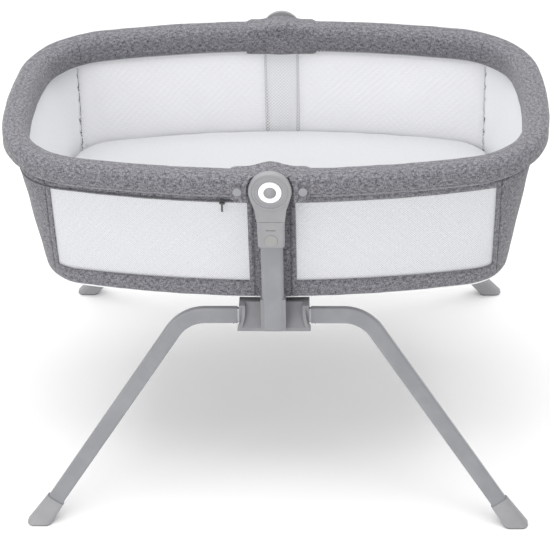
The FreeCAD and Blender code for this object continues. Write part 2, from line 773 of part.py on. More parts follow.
def face_slope():
    """What the housing's front edges lose as they lean back towards the top."""
    low, high = HOUSING_FOOT_Z + HOUSING_LIP, HOUSING_TOP_Z + 1.0
    front, back = HOUSING_FRONT_Y, HOUSING_FRONT_Y + HOUSING_SLOPE
    middle = (front + HOUSING_SLOPE * 0.4, (low + high) / 2)
    return side_prism(
        ((front, low), middle, (back, high)), ((front - 1.0, high), (front - 1.0, low))
    )


def make_housing():
    """Base housing: flanges at both ends, a hollow face and a pillar for the upright."""
    flanged = housing_block(0.0, HOUSING_FRONT_Y, HOUSING_BODY_FRONT_Y + 4.0)
    core = housing_block(HOUSING_FLANGE, HOUSING_FRONT_Y - 1.0, HOUSING_BACK_Y)
    body = box(-HOUSING_BODY_HALF_WIDTH, HOUSING_BODY_HALF_WIDTH, HOUSING_BODY_FRONT_Y,
               HOUSING_BACK_Y, HOUSING_FOOT_Z, HOUSING_TOP_Z)
    block = join(flanged, body).cut([face_slope(), face_recess().common(core)])
    pillar_half = UPRIGHT_WIDTH / 2 + PILLAR_WALL
    pillar_foot = rounded_rectangle(
        Vector(0, PILLAR_FRONT_Y, UPRIGHT_FOOT_Z - PILLAR_WALL + FAR / 2), X, Z,
        2 * pillar_half, FAR, UPRIGHT_FOOT_ROUNDING + PILLAR_WALL,
    )
    pillar = solid_from(pillar_foot, Y * (UPRIGHT_BACK_Y + PILLAR_WALL - PILLAR_FRONT_Y))
    pillar = pillar.common(box(-FAR, FAR, -FAR, FAR, 0, PILLAR_TOP_Z))
    block = join(block, pillar)

    seat = upright_silhouette(solid_from(upright_wire(UPRIGHT_FOOT_Z), Z * FAR / 10))
    tunnel = solid_from(cross_section(-FAR / 10), X * (FAR / 5))
    spreader_sockets = [
        rod(SPREADER_RADIUS, Vector(x, HOUSING_BACK_Y - SPREADER_GRIP, SPREADER_Z),
            Vector(x, HOUSING_BACK_Y + 1.0, SPREADER_Z))
        for x in (-SPREADER_X, SPREADER_X)
    ]
    screw_holes = []
    for x in BASE_SCREWS_X:
        screw_holes.append(base_screw_rod(x, BASE_SCREW_RADIUS, HOUSING_FOOT_Z, CROSS_Z))
        screw_holes.append(
            base_screw_rod(x, BASE_SCREW_HEAD_RADIUS, HOUSING_FOOT_Z - 1.0, HOUSING_FOOT_Z + 2.0)
        )
    bolt_holes = []
    for x in (-UPRIGHT_BOLT_X, UPRIGHT_BOLT_X):
        bolt_holes.append(
            upright_bolt_rod(x, UPRIGHT_BOLT_RADIUS, UPRIGHT_BACK_Y - 1.0, HOUSING_BACK_Y)
        )
        bolt_holes.append(
            upright_bolt_rod(x, UPRIGHT_BOLT_HEAD_RADIUS, CROSS_Y, HOUSING_BACK_Y + 1.0)
        )
    return block.cut([seat, tunnel] + spreader_sockets + screw_holes + bolt_holes)


def make_base():
    housing = make_housing()
    cross = make_cross_tube()
    spreaders = []
    reach = -HOUSING_BACK_Y + SPREADER_GRIP
    for x in (-SPREADER_X, SPREADER_X):
        ends = (Vector(x, -reach, SPREADER_Z), Vector(x, reach, SPREADER_Z))
        spreaders.append(
            rod(SPREADER_RADIUS, *ends).cut(rod(SPREADER_RADIUS - SPREADER_WALL, *ends))
        )
    screws = []
    for x in BASE_SCREWS_X:
        shank = base_screw_rod(x, BASE_SCREW_RADIUS, HOUSING_FOOT_Z + 1.0, CROSS_Z - 8.0)
        head = base_screw_rod(x, BASE_SCREW_HEAD_RADIUS, HOUSING_FOOT_Z, HOUSING_FOOT_Z + 2.0)
        screws.append(join(head, shank))
    bolts = []
    for x in (-UPRIGHT_BOLT_X, UPRIGHT_BOLT_X):
        shank = upright_bolt_rod(x, UPRIGHT_BOLT_RADIUS, UPRIGHT_BACK_Y - 6.0, CROSS_Y + 1.0)
        head = upright_bolt_rod(x, UPRIGHT_BOLT_HEAD_RADIUS, CROSS_Y, CROSS_Y + 4.0)
        bolts.append(join(head, shank))
    return {
        "front_base_housing": housing,
        "rear_base_housing": rear(housing),
        "front_cross_tube": cross,
        "rear_cross_tube": rear(cross),
        "spreader_tubes": Part.makeCompound(spreaders),
        "base_screws": Part.makeCompound(screws + [rear(s) for s in screws]),
        "upright_bolts": Part.makeCompound(bolts + [rear(b) for b in bolts]),
    }


# ---- legs ---------------------------------------------------------------------------


def leg_section(at, across, growth=0.0):
    """Leg's section at a point, its long side along a direction in the leg's plane."""
    return rounded_rectangle(
        at,
        across,
        X.cross(LEG_DOWN),
        LEG_HEIGHT + 2 * growth,
        LEG_DEPTH + 2 * growth,
        LEG_CORNER + growth,
    )


def leg_direction():
    """Unit direction of the sloping run, as shares along X and down the plane."""
    run = FOOT_X - LEG_BEND_X
    length = math.hypot(run, LEG_DROP)
    return run / length, LEG_DROP / length, length


def leg_bar(growth):
    """Leg's shape as a solid bar: a level run, one bend and a sloping run."""
    along, down, length = leg_direction()
    turn = math.acos(along)
    tangent = LEG_BEND_RADIUS * math.tan(turn / 2)
    bisector = Vector(-(1 - along), down, 0).normalize()
    sagitta = LEG_BEND_RADIUS / math.cos(turn / 2) - LEG_BEND_RADIUS
    start = leg_plane(LEG_START_X, 0)
    bend_in = leg_plane(LEG_BEND_X - tangent, 0)
    bend_middle = leg_plane(LEG_BEND_X + bisector.x * sagitta, bisector.y * sagitta)
    bend_out = leg_plane(LEG_BEND_X + along * tangent, down * tangent)
    tube_end = length - FOOT_CAP_LENGTH * 0.4
    end = leg_plane(LEG_BEND_X + along * tube_end, down * tube_end)
    path = Part.Wire(
        [
            Part.LineSegment(start, bend_in).toShape(),
            Part.Arc(bend_in, bend_middle, bend_out).toShape(),
            Part.LineSegment(bend_out, end).toShape(),
        ]
    )
    return path.makePipeShell([leg_section(start, LEG_DOWN, growth)], True, True)


def leg_pin_rod(x, radius, down_from, down_to):
    return rod(radius, leg_plane(x, down_from), leg_plane(x, down_to))


def make_leg():
    pin_hole = leg_pin_rod(LEG_PIN_X, LEG_PIN_RADIUS + SLIDING, 0, LEG_HEIGHT)
    return leg_bar(0.0).cut([leg_bar(-LEG_WALL), pin_hole])


def make_foot():
    """Foot cap over the leg's end, and the pad under its flat sole."""
    along, down, length = leg_direction()
    back = length - FOOT_CAP_LENGTH
    top_at = leg_plane(LEG_BEND_X + along * back, down * back)
    across = LEG_DOWN * along - X * down
    grown = FOOT_CAP_MARGIN
    top = leg_section(top_at, across, grown)
    sole_radius = 11.0

    def sole(z, margin):
        return rounded_rectangle(
            Vector(FOOT_X, FOOT_Y, z), Z.cross(Y), Y,
            FOOT_SOLE_LENGTH - 2 * margin, FOOT_SOLE_WIDTH - 2 * margin,
            sole_radius - margin,
        )

    corners_down = Part.makeLoft([top, sole(FOOT_PAD_THICKNESS, 0.0)], True, True)
    cap = corners_down.cut(leg_bar(0.0))
    cap = max(cap.Solids, key=lambda s: s.Volume)
    pad = solid_from(sole(0.0, FOOT_PAD_MARGIN), Z * FOOT_PAD_THICKNESS)
    return cap, pad


def make_leg_pin():
    """Spring pin that locks the leg on the cross tube, with its leaf spring."""
    shoulder = CROSS_HEIGHT / 2 - CROSS_WALL - SLIDING
    tip = LEG_HEIGHT / 2 + LEG_PIN_PROUD
    pin = leg_pin_rod(LEG_PIN_X, LEG_PIN_RADIUS, shoulder, tip)
    end_edge = max(pin.Edges, key=lambda e: (e.Closed, -e.CenterOfMass.z))
    pin = pin.makeFillet(LEG_PIN_RADIUS * 0.8, [end_edge])
    leaf_wire = rounded_rectangle(
        leg_plane(LEG_PIN_X + 18.0 - LEAF_LENGTH / 2, shoulder - LEAF_THICKNESS),
        X,
        X.cross(LEG_DOWN),
        LEAF_LENGTH,
        LEAF_WIDTH,
        2.0,
    )
    leaf = solid_from(leaf_wire, LEG_DOWN * LEAF_THICKNESS)
    return Part.makeCompound([pin, leaf])


def make_legs():
    leg = make_leg()
    cap, pad = make_foot()
    pin = make_leg_pin()
    named = {}
    for name, shape in (("leg", leg), ("foot_cap", cap), ("leg_pin", pin)):
        named["front_right_" + name] = shape
        named["front_left_" + name] = left(shape)
        named["rear_right_" + name] = rear(shape)
        named["rear_left_" + name] = rear(left(shape))
    named["foot_pads"] = Part.makeCompound([pad, left(pad), rear(pad), rear(left(pad))])
    return named


# ---- fabric tub, mattress -----------------------------------------------------------


def window_boxes():
    """Blocks through the four windows."""
    boxes = []
    for y0, y1 in ((-FAR, 0.0), (0.0, FAR)):
        for x0, x1 in ((WINDOW_INNER_X, WINDOW_OUTER_X), (-WINDOW_OUTER_X, -WINDOW_INNER_X)):
            boxes.append(box(x0, x1, y0, y1, WINDOW_FOOT_Z, WINDOW_TOP_Z))
    return boxes


def drum_notches():
    """Room for the rim hubs in the top edge of the walls."""
    notch = hub_axis_rod(RIM_HUB_RADIUS + SEAM, RIM_HUB_FRONT_Y - 1.0, RIM_HUB_BACK_Y + 1.0)
    return [notch, rear(notch)]


def make_tub():
    walls = tub_solid(0.0, BOARD_Z, RIM_FOOT_Z).cut(tub_solid(TUB_WALL, BOARD_Z, RIM_FOOT_Z))
    walls = walls.cut(drum_notches())
    floor = tub_solid(0.0, TUB_FLOOR_Z, BOARD_Z)
    windows = window_boxes()
    side_walls = walls.cut(windows)
    front = side_walls.common(box(-PANEL_SEAM_X, PANEL_SEAM_X, -FAR, 0, 0, FAR))
    right_end = walls.common(box(PANEL_SEAM_X, FAR, -FAR, FAR, 0, FAR))
    mesh_layer = tub_solid(MESH_INSET, BOARD_Z, RIM_FOOT_Z).cut(
        tub_solid(MESH_INSET + MESH_THICKNESS, BOARD_Z, RIM_FOOT_Z)
    )
    panes = [mesh_layer.common(w) for w in windows]
    lining = tub_solid(LINING_INSET, MATTRESS_Z, RIM_FOOT_Z).cut(
        tub_solid(LINING_INSET + LINING_THICKNESS, MATTRESS_Z, RIM_FOOT_Z)
    )
    lining = lining.cut(drum_notches())
    return {
        "front_side_panel": front,
        "rear_side_panel": rear(front),
        "right_end_panel": right_end,
        "left_end_panel": left(right_end),
        "tub_floor": floor,
        "front_right_window": panes[0],
        "front_left_window": panes[1],
        "rear_right_window": panes[2],
        "rear_left_window": panes[3],
        "inner_lining": lining,
    }


def make_bedding():
    edge = LINING_INSET + LINING_THICKNESS + LINING_GAP
    board = tub_solid(edge, BOARD_Z, MATTRESS_Z)
    top = MATTRESS_Z + MATTRESS_THICKNESS
    levels = (
        (MATTRESS_Z, 4.0),
        (MATTRESS_Z + 4.0, 0.0),
        (top - MATTRESS_ROUNDING, 0.0),
        (top - MATTRESS_ROUNDING * 0.3, 2.7),
        (top, MATTRESS_ROUNDING),
    )
    sections = [tub_section(MATTRESS_Z + 4.0, edge + inset) for z, inset in levels]
    for section, (z, inset) in zip(sections, levels):
        section.translate(Vector(0, 0, z - MATTRESS_Z - 4.0))
    mattress = Part.makeLoft(sections, True, True)
    return {"base_board": board, "mattress": mattress}


# ---- fabric trim --------------------------------------------------------------------


def make_flap():
    """Fabric flap over the hub, arched in front and raised in the middle."""
    front_y = -(RIM_HALF_WIDTH + RIM_PAD_WIDTH / 2) - FLAP_THICKNESS
    back_y = -(RIM_HALF_WIDTH - RIM_PAD_WIDTH / 2) + FLAP_THICKNESS
    half = FLAP_HALF_LENGTH
    low = RIM_FOOT_Z + 3.0
    shoulder = RIM_TOP_Z + 0.8
    top = Part.Arc(
        Vector(half, front_y, shoulder),
        Vector(0, front_y, RIM_TOP_Z + FLAP_BUMP),
        Vector(-half, front_y, shoulder),
    ).toShape()
    sides = [
        Part.LineSegment(Vector(-half, front_y, shoulder), Vector(-half, front_y, low)).toShape(),
        Part.LineSegment(Vector(-half, front_y, low), Vector(half, front_y, low)).toShape(),
        Part.LineSegment(Vector(half, front_y, low), Vector(half, front_y, shoulder)).toShape(),
    ]
    block = solid_from(Part.Wire(Part.__sortEdges__([top] + sides)), Y * (back_y - front_y))
    long_edges = [
        e
        for e in block.Edges
        if e.Curve.TypeId == "Part::GeomCircle" and e.Length > half
    ]
    block = block.makeFillet(RIM_PAD_CORNER * 0.8, long_edges)

    growth = SLIDING
    pads = [rim_pad(growth, 1.0), left(rim_pad(growth, 1.0))]
    middle = box(-2, 2, -RIM_HALF_WIDTH - RIM_PAD_WIDTH / 2 - growth,
                 -RIM_HALF_WIDTH + RIM_PAD_WIDTH / 2 + growth,
                 RIM_FOOT_Z - growth, RIM_TOP_Z + growth)
    drum = hub_axis_rod(RIM_HUB_RADIUS + growth, RIM_HUB_FRONT_Y - 1.0, RIM_HUB_BACK_Y + 8.0)
    arch_radius = HUB_RADIUS + FLAP_ARCH_MARGIN
    arch = hub_axis_rod(arch_radius, front_y - 1.0, RIM_HUB_FRONT_Y + 2.0)
    doorway = box(-arch_radius, arch_radius, front_y - 1.0, RIM_HUB_FRONT_Y + 2.0, 0, RIM_Z)
    flap = block.cut(pads + [middle, drum, arch, doorway])
    return max(flap.Solids, key=lambda s: s.Volume), front_y


def make_trim():
    flap, flap_front_y = make_flap()
    studs = []
    for x in (-STUD_X, STUD_X):
        stud = rod(STUD_RADIUS, Vector(x, flap_front_y, STUD_Z),
                   Vector(x, flap_front_y - STUD_THICKNESS, STUD_Z))
        face_y = flap_front_y - STUD_THICKNESS
        edge = [e for e in stud.Edges if e.Closed and abs(e.CenterOfMass.y - face_y) < 1e-6]
        studs.append(stud.makeFillet(1.0, edge))
    return {
        "front_hub_flap": flap,
        "rear_hub_flap": rear(flap),
        "press_studs": Part.makeCompound(studs + [rear(s) for s in studs]),
    }


def make_zip():
    """Zip under the rim: fixed teeth all round the left half, slider and pull."""
    z_low = RIM_FOOT_Z - ZIP_DROP - ZIP_HEIGHT

    def strip(inset_from, inset_to):
        sizes = (TUB_TOP_HALF_LENGTH, TUB_TOP_HALF_WIDTH)
        rings = [
            Part.Face(tub_outline(*sizes, z_low, inset)).extrude(Z * ZIP_HEIGHT)
            for inset in (inset_from, inset_to)
        ]
        return rings[0].cut(rings[1])

    tape = strip(-ZIP_THICKNESS, 0.0)
    hub_side = STUD_X + STUD_RADIUS
    tape = tape.cut(box(-hub_side, FAR, -FAR, FAR, 0, FAR))

    knots = outline_knots(TUB_TOP_HALF_LENGTH, TUB_TOP_HALF_WIDTH, TUB_RADII)
    centre = Vector(0, -knots["side_centre"].y, 0)
    angle = math.asin(-ZIP_SLIDER_X / SIDE_RADIUS)
    outward = Vector(-math.sin(angle), -math.cos(angle), 0)
    along = Z.cross(outward)
    face = SIDE_RADIUS + ZIP_THICKNESS + SLIDING
    slider_z = z_low + ZIP_HEIGHT / 2 - 1.0

    def at(out, up, side=0.0):
        return centre + outward * (face + out) + along * side + Z * (slider_z + up)

    plate = solid_from(
        rounded_rectangle(at(0, 0), along, Z, ZIP_SLIDER_LENGTH, ZIP_SLIDER_HEIGHT, 2.0),
        outward * ZIP_SLIDER_THICKNESS,
    )
    knuckle_radius = ZIP_PIN_RADIUS + 1.0
    hinge_out, hinge_up = ZIP_SLIDER_THICKNESS + knuckle_radius + SLIDING, -0.5
    reach = ZIP_PULL_WIDTH / 2 + 1.1
    pin = rod(ZIP_PIN_RADIUS, at(hinge_out, hinge_up, -reach), at(hinge_out, hinge_up, reach))
    ears = []
    for side in (-1, 1):
        ear_middle = at(hinge_out / 2 + 0.9, hinge_up, side * (reach - 0.45))
        ears.append(
            solid_from(
                rounded_rectangle(
                    ear_middle - along * 0.45, outward, Z, hinge_out + 1.0, 3.0, 0.8
                ),
                along * 0.9,
            )
        )
    slider = join(plate, pin, *ears)

    pull_top = knuckle_radius * 0.8
    tab = solid_from(
        rounded_rectangle(
            at(hinge_out - ZIP_PULL_THICKNESS / 2, hinge_up + pull_top - ZIP_PULL_LENGTH / 2),
            along,
            Z,
            ZIP_PULL_WIDTH - 1.2,
            ZIP_PULL_LENGTH,
            1.6,
        ),
        outward * ZIP_PULL_THICKNESS,
    )
    knuckle = rod(
        knuckle_radius,
        at(hinge_out, hinge_up, -(ZIP_PULL_WIDTH - 1.2) / 2),
        at(hinge_out, hinge_up, (ZIP_PULL_WIDTH - 1.2) / 2),
    )
    eye = rod(
        ZIP_PIN_RADIUS + RUNNING, at(hinge_out, hinge_up, -reach), at(hinge_out, hinge_up, reach)
    )
    pull = join(tab, knuckle).cut(eye)
    hinge = at(hinge_out, hinge_up)
    print(
        "zip: arc centre", [round(c, 3) for c in centre],
        "pull hinge", [round(c, 3) for c in hinge],
        "axis", [round(c, 5) for c in along],
    )
    return {"zip_tape": tape, "zip_slider": slider, "zip_pull": pull}


# ---- everything ---------------------------------------------------------------------


def main():
    os.makedirs("parts", exist_ok=True)
    pieces = {}
    for make in (make_rim, make_rim_hub, make_hubs, make_base, make_legs, make_tub,
                 make_bedding, make_trim, make_zip):
        pieces.update(make())
    for name, shape in pieces.items():
        shape.exportStep(f"parts/{name}.step")
        bounds = shape.BoundBox
        state = "ok" if shape.isValid() and shape.Solids else "BAD"
        print(
            f"{name:24s} {state} solids {len(shape.Solids)} volume {shape.Volume / 1000:9.1f} cm3"
            f"  x {bounds.XMin:7.1f} {bounds.XMax:7.1f}"
            f"  y {bounds.YMin:7.1f} {bounds.YMax:7.1f}"
            f"  z {bounds.ZMin:6.1f} {bounds.ZMax:6.1f}"
        )
    print(len(pieces), "nodes")


main()
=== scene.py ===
# %% [markdown]
# # A bassinet on a stand
#
# The object is a fabric basket with mesh windows, hung between two flat uprights that
# stand on bent tube legs. The hard parts come from the engineering model and keep their
# shape: they only get finishes here. The soft parts are built again as cloth.
#
# Lengths are written in millimetres and turned into metres by MM, because a maker
# measures a bassinet in millimetres and Blender's scene is in metres.

# %% Load the frame
import json
import math

import bmesh
import bpy
from mathutils import Matrix, Vector, noise


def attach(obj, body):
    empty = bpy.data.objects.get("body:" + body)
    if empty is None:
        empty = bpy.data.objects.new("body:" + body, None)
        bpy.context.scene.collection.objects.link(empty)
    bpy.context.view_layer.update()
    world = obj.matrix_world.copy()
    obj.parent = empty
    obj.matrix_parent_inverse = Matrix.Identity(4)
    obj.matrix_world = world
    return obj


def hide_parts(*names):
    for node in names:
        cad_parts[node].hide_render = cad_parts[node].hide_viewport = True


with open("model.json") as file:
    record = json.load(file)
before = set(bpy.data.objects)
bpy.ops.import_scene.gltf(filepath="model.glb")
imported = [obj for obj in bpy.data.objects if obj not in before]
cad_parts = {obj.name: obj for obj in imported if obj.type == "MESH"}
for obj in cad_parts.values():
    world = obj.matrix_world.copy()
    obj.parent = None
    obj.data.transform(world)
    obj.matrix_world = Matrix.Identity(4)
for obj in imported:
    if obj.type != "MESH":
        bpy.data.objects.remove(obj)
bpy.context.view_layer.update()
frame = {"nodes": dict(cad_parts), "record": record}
MM = 0.001

# %% [markdown]
# ## Camera
#
# The viewpoint is a little to the right of the middle, nearly three metres away and 33
# degrees above the horizon. Such a long lens keeps the far rim almost as wide as the
# near one. The camera's axes are worked out from its pitch, yaw and roll, because those
# three numbers are easier to correct than a matrix.

# %% Camera
PITCH, YAW, ROLL = math.radians(33.0), -0.0482, -0.0254
EYE = Vector((0.1257, -2.7999, 2.0904))
LENS_MM, SENSOR_MM = 123.1, 36.0

forward = Vector((math.sin(YAW) * math.cos(PITCH), math.cos(YAW) * math.cos(PITCH), -math.sin(PITCH)))
level_right = Vector((math.cos(YAW), -math.sin(YAW), 0.0))
level_up = level_right.cross(forward)
right = level_right * math.cos(ROLL) + level_up * math.sin(ROLL)
up = right.cross(forward)

camera_data = bpy.data.cameras.new("camera")
camera_data.lens, camera_data.sensor_width = LENS_MM, SENSOR_MM
camera_data.clip_end = 50.0
camera = bpy.data.objects.new("camera", camera_data)
bpy.context.scene.collection.objects.link(camera)
camera.matrix_world = Matrix.Translation(EYE) @ Matrix((right, up, -forward)).transposed().to_4x4()
bpy.context.scene.camera = camera
print("camera at", tuple(round(c, 3) for c in EYE))

# %% [markdown]
# ## Floor and light
#
# A pale floor with one large soft lamp overhead, a fill from the front and an even
# white sky gives the soft pool of shadow of a product studio. The sky does most of the
# work, so that white cloth stays white on every side.

# %% Floor and light
def srgb(code):
    """Linear colour from a hex code such as 7c7b80."""
    values = [int(code[i : i + 2], 16) / 255 for i in (0, 2, 4)]
    return tuple(v / 12.92 if v <= 0.04045 else ((v + 0.055) / 1.055) ** 2.4 for v in values) + (1.0,)


def area_lamp(name, place, target, size, watts):
    """Soft rectangular lamp that faces a target point."""
    data = bpy.data.lights.new(name, "AREA")
    data.shape, data.size, data.size_y, data.energy = "RECTANGLE", size[0], size[1], watts
    lamp = bpy.data.objects.new(name, data)
    bpy.context.scene.collection.objects.link(lamp)
    lamp.location = place
    lamp.rotation_euler = (Vector(target) - Vector(place)).to_track_quat("-Z", "Y").to_euler()
    return lamp


world = bpy.data.worlds.new("studio")
bpy.context.scene.world = world
world.use_nodes = True
world.node_tree.nodes["Background"].inputs["Color"].default_value = (1.0, 1.0, 1.0, 1.0)
world.node_tree.nodes["Background"].inputs["Strength"].default_value = 0.80
bpy.context.scene.view_settings.view_transform = "Standard"
area_lamp("overhead", (0.0, -0.2, 3.2), (0.0, 0.0, 0.4), (3.2, 2.4), 70.0)
area_lamp("front_fill", (-1.6, -3.2, 1.8), (0.0, 0.0, 0.4), (2.2, 1.6), 38.0)

FLOOR_HALF = 9.0
bm = bmesh.new()
bmesh.ops.create_grid(bm, x_segments=8, y_segments=8, size=FLOOR_HALF)
floor_mesh = bpy.data.meshes.new("floor")
bm.to_mesh(floor_mesh)
bm.free()
floor = bpy.data.objects.new("floor", floor_mesh)
bpy.context.scene.collection.objects.link(floor)
print("floor and", len(bpy.data.lights), "lamps")

# %% [markdown]
# ## Small tools for materials
#
# Every finish is a node tree. These helpers add a node, set its plain values and wire
# its inputs in one line, which keeps each recipe short enough to read.

# %% Node helpers
def add_node(tree, kind, links=None, **values):
    """Node of a kind with its settings, and its inputs linked or set by name or number."""
    node = tree.nodes.new(kind)
    for key, value in values.items():
        setattr(node, key, value)
    for key, value in (links or {}).items():
        if isinstance(value, bpy.types.NodeSocket):
            tree.links.new(value, node.inputs[key])
        else:
            node.inputs[key].default_value = value
    return node


def calc(tree, operation, *values):
    """Output of a Math node."""
    return add_node(tree, "ShaderNodeMath", dict(enumerate(values)), operation=operation).outputs[0]


def remap(tree, value, low, high, to_low=0.0, to_high=1.0):
    """Value stretched from one span to another and held inside it."""
    links = {0: value, 1: low, 2: high, 3: to_low, 4: to_high}
    return add_node(tree, "ShaderNodeMapRange", links).outputs[0]


def blend_colour(tree, share, first, second, mode="MIX"):
    """Output of a colour Mix node."""
    node = add_node(tree, "ShaderNodeMix", data_type="RGBA", blend_type=mode)
    for socket, value in ((node.inputs[0], share), (node.inputs[6], first), (node.inputs[7], second)):
        if isinstance(value, bpy.types.NodeSocket):
            tree.links.new(value, socket)
        else:
            socket.default_value = value
    return node.outputs[2]


def new_group(name, inputs, outputs):
    """Shader node group with named sockets; returns it, its input node and its output node."""
    tree = bpy.data.node_groups.new(name, "ShaderNodeTree")
    for label, kind, value in inputs:
        socket = tree.interface.new_socket(label, in_out="INPUT", socket_type="NodeSocket" + kind)
        if value is not None:
            socket.default_value = value
    for label, kind in outputs:
        tree.interface.new_socket(label, in_out="OUTPUT", socket_type="NodeSocket" + kind)
    return tree, tree.nodes.new("NodeGroupInput").outputs, tree.nodes.new("NodeGroupOutput").inputs


def new_material(name):
    """Material with its tree and its Principled BSDF."""
    material = bpy.data.materials.new(name)
    material.use_nodes = True
    return material, material.node_tree, material.node_tree.nodes["Principled BSDF"]


def use_group(tree, group, **inputs):
    """Group placed in a tree; underscores in the input names stand for spaces."""
    node = add_node(tree, "ShaderNodeGroup", node_tree=group)
    for key, value in inputs.items():
        socket = node.inputs[key.replace("_", " ")]
        if isinstance(value, bpy.types.NodeSocket):
            tree.links.new(value, socket)
        else:
            socket.default_value = value
    return node.outputs


def bump(tree, height, distance, strength=1.0):
    """Normal from a height, with the height's unit given in metres."""
    links = {"Height": height, "Distance": distance, "Strength": strength}
    return add_node(tree, "ShaderNodeBump", links).outputs[0]


print("node helpers ready")

# %% [markdown]
# ## Melange yarn
#
# The grey cloth is woven from yarn that was spun from dark and light fibres, so single
# threads run light or dark for a few millimetres before they change. A plain checker
# would look like a tablecloth. Two noises are stretched instead, one along each thread
# direction, and the weave decides at each crossing which of the two shows.

# %% Melange yarn group
group, given, made = new_group(
    "melange_yarn",
    [
        ("Vector", "Vector", None),
        ("Dark", "Color", srgb("55545a")),
        ("Light", "Color", srgb("a9a8ad")),
        ("Threads per metre", "Float", 900.0),
    ],
    [("Colour", "Color"), ("Height", "Float")],
)


def soft_noise(tree, vector, scale, detail):
    """Value of a Noise texture."""
    links = {"Vector": vector, "Scale": scale, "Detail": detail}
    return add_node(tree, "ShaderNodeTexNoise", links).outputs[0]


def mixed(tree, first, share, second):
    """Weighted sum of two values; the second has what the share leaves."""
    return calc(tree, "ADD", calc(tree, "MULTIPLY", first, share), calc(tree, "MULTIPLY", second, 1 - share))


def yarn_noise(tree, vector, stretch, scale, detail):
    """Noise drawn out along one thread direction."""
    placed = add_node(tree, "ShaderNodeMapping", {"Vector": vector, "Scale": stretch}).outputs[0]
    return soft_noise(tree, placed, scale, detail)


parts = add_node(group, "ShaderNodeSeparateXYZ", {0: given["Vector"]}).outputs
turn = calc(group, "MULTIPLY", given["Threads per metre"], math.pi)
wave_u = calc(group, "SINE", calc(group, "MULTIPLY", parts[0], turn))
wave_v = calc(group, "SINE", calc(group, "MULTIPLY", parts[1], turn))
over = calc(group, "GREATER_THAN", calc(group, "MULTIPLY", wave_u, wave_v), 0.0)
weft = yarn_noise(group, given["Vector"], (0.22, 1.0, 1.0), 820.0, 2.0)
warp = yarn_noise(group, given["Vector"], (1.0, 0.22, 1.0), 820.0, 2.0)
cloud = yarn_noise(group, given["Vector"], (0.7, 1.0, 1.0), 190.0, 3.0)
fibre = calc(group, "ADD", calc(group, "MULTIPLY", weft, calc(group, "SUBTRACT", 1.0, over)),
             calc(group, "MULTIPLY", warp, over))
shade = remap(group, mixed(group, fibre, 0.72, cloud), 0.40, 0.60)
group.links.new(blend_colour(group, shade, given["Dark"], given["Light"]), made["Colour"])
ridge = calc(group, "MAXIMUM", calc(group, "ABSOLUTE", wave_u), calc(group, "ABSOLUTE", wave_v))
group.links.new(mixed(group, ridge, 0.6, fibre), made["Height"])
MELANGE_YARN = group
print("group", group.name, len(group.nodes), "nodes")

# %% [markdown]
# ## Open knit
#
# The windows are a knitted mesh: white yarn round small holes in a diagonal grid. Real
# holes would take millions of faces. A Voronoi texture with no randomness gives the
# distance to the middle of each hole, and the material is made clear there, so the
# grey cloth behind shows through as a chequer.

# %% Open knit group
group, given, made = new_group(
    "open_knit",
    [("Vector", "Vector", None), ("Pitch", "Float", 0.0032), ("Hole share", "Float", 0.5)],
    [("Yarn", "Float"), ("Height", "Float")],
)
diagonal = {"Vector": given["Vector"], "Rotation": (0.0, 0.0, math.pi / 4)}
turned = add_node(group, "ShaderNodeMapping", diagonal).outputs[0]
cells = add_node(group, "ShaderNodeTexVoronoi",
                 {"Vector": turned, "Scale": calc(group, "DIVIDE", 1.0, given["Pitch"]), "Randomness": 0.0},
                 voronoi_dimensions="2D", distance="EUCLIDEAN")
radius = calc(group, "MULTIPLY", given["Hole share"], 0.5)
edge = calc(group, "SUBTRACT", cells.outputs["Distance"], radius)
group.links.new(remap(group, edge, -0.05, 0.05), made["Yarn"])
group.links.new(remap(group, cells.outputs["Distance"], 0.15, 0.7), made["Height"])
OPEN_KNIT = group
print("group", group.name, len(group.nodes), "nodes")

# %% [markdown]
# ## Faint sprigs
#
# The mattress cover and the end linings carry a pale print. A generic leaf sprig is
# drawn from three ellipse outlines on a stalk, one sprig in each Voronoi cell, turned
# by a random angle that belongs to the cell.

# %% Faint sprig group
group, given, made = new_group(
    "faint_sprigs", [("Vector", "Vector", None), ("Spacing", "Float", 0.075)], [("Ink", "Float")]
)
scale = calc(group, "DIVIDE", 1.0, given["Spacing"])
cells = add_node(group, "ShaderNodeTexVoronoi",
                 {"Vector": given["Vector"], "Scale": scale, "Randomness": 0.55}, voronoi_dimensions="2D")
grown = add_node(group, "ShaderNodeVectorMath", {0: given["Vector"], 3: scale}, operation="SCALE").outputs[0]
local = add_node(group, "ShaderNodeVectorMath", {0: grown, 1: cells.outputs["Position"]},
                 operation="SUBTRACT").outputs[0]
random_share = add_node(group, "ShaderNodeSeparateColor", {0: cells.outputs["Color"]}).outputs[0]


def turned_flat(vector, angle):
    """Vector turned about Z."""
    return add_node(group, "ShaderNodeVectorRotate", {"Vector": vector, "Angle": angle},
                    rotation_type="Z_AXIS").outputs[0]


spun = turned_flat(local, calc(group, "MULTIPLY", random_share, 2 * math.pi))
ink = None
for angle, reach in ((0.0, 0.13), (0.9, 0.10), (-0.9, 0.10)):
    narrowed = {"Vector": turned_flat(spun, angle), "Location": (-reach * 1.1, 0.0, 0.0), "Scale": (1.0, 2.3, 1.0)}
    leaf = add_node(group, "ShaderNodeMapping", narrowed).outputs[0]
    away = add_node(group, "ShaderNodeVectorMath", {0: leaf}, operation="LENGTH").outputs["Value"]
    line = remap(group, calc(group, "ABSOLUTE", calc(group, "SUBTRACT", away, reach)), 0.012, 0.03, 1.0, 0.0)
    ink = line if ink is None else calc(group, "MAXIMUM", ink, line)
group.links.new(ink, made["Ink"])
FAINT_SPRIGS = group
print("group", group.name, len(group.nodes), "nodes")

# %% [markdown]
# ## Moulded grain
#
# Moulds for household plastic are etched with a fine leather-like grain that breaks up
# reflections. Tubes are powder coated, which leaves an orange-peel skin. Both are a
# small noise with a larger one under it, so one group serves the two of them.

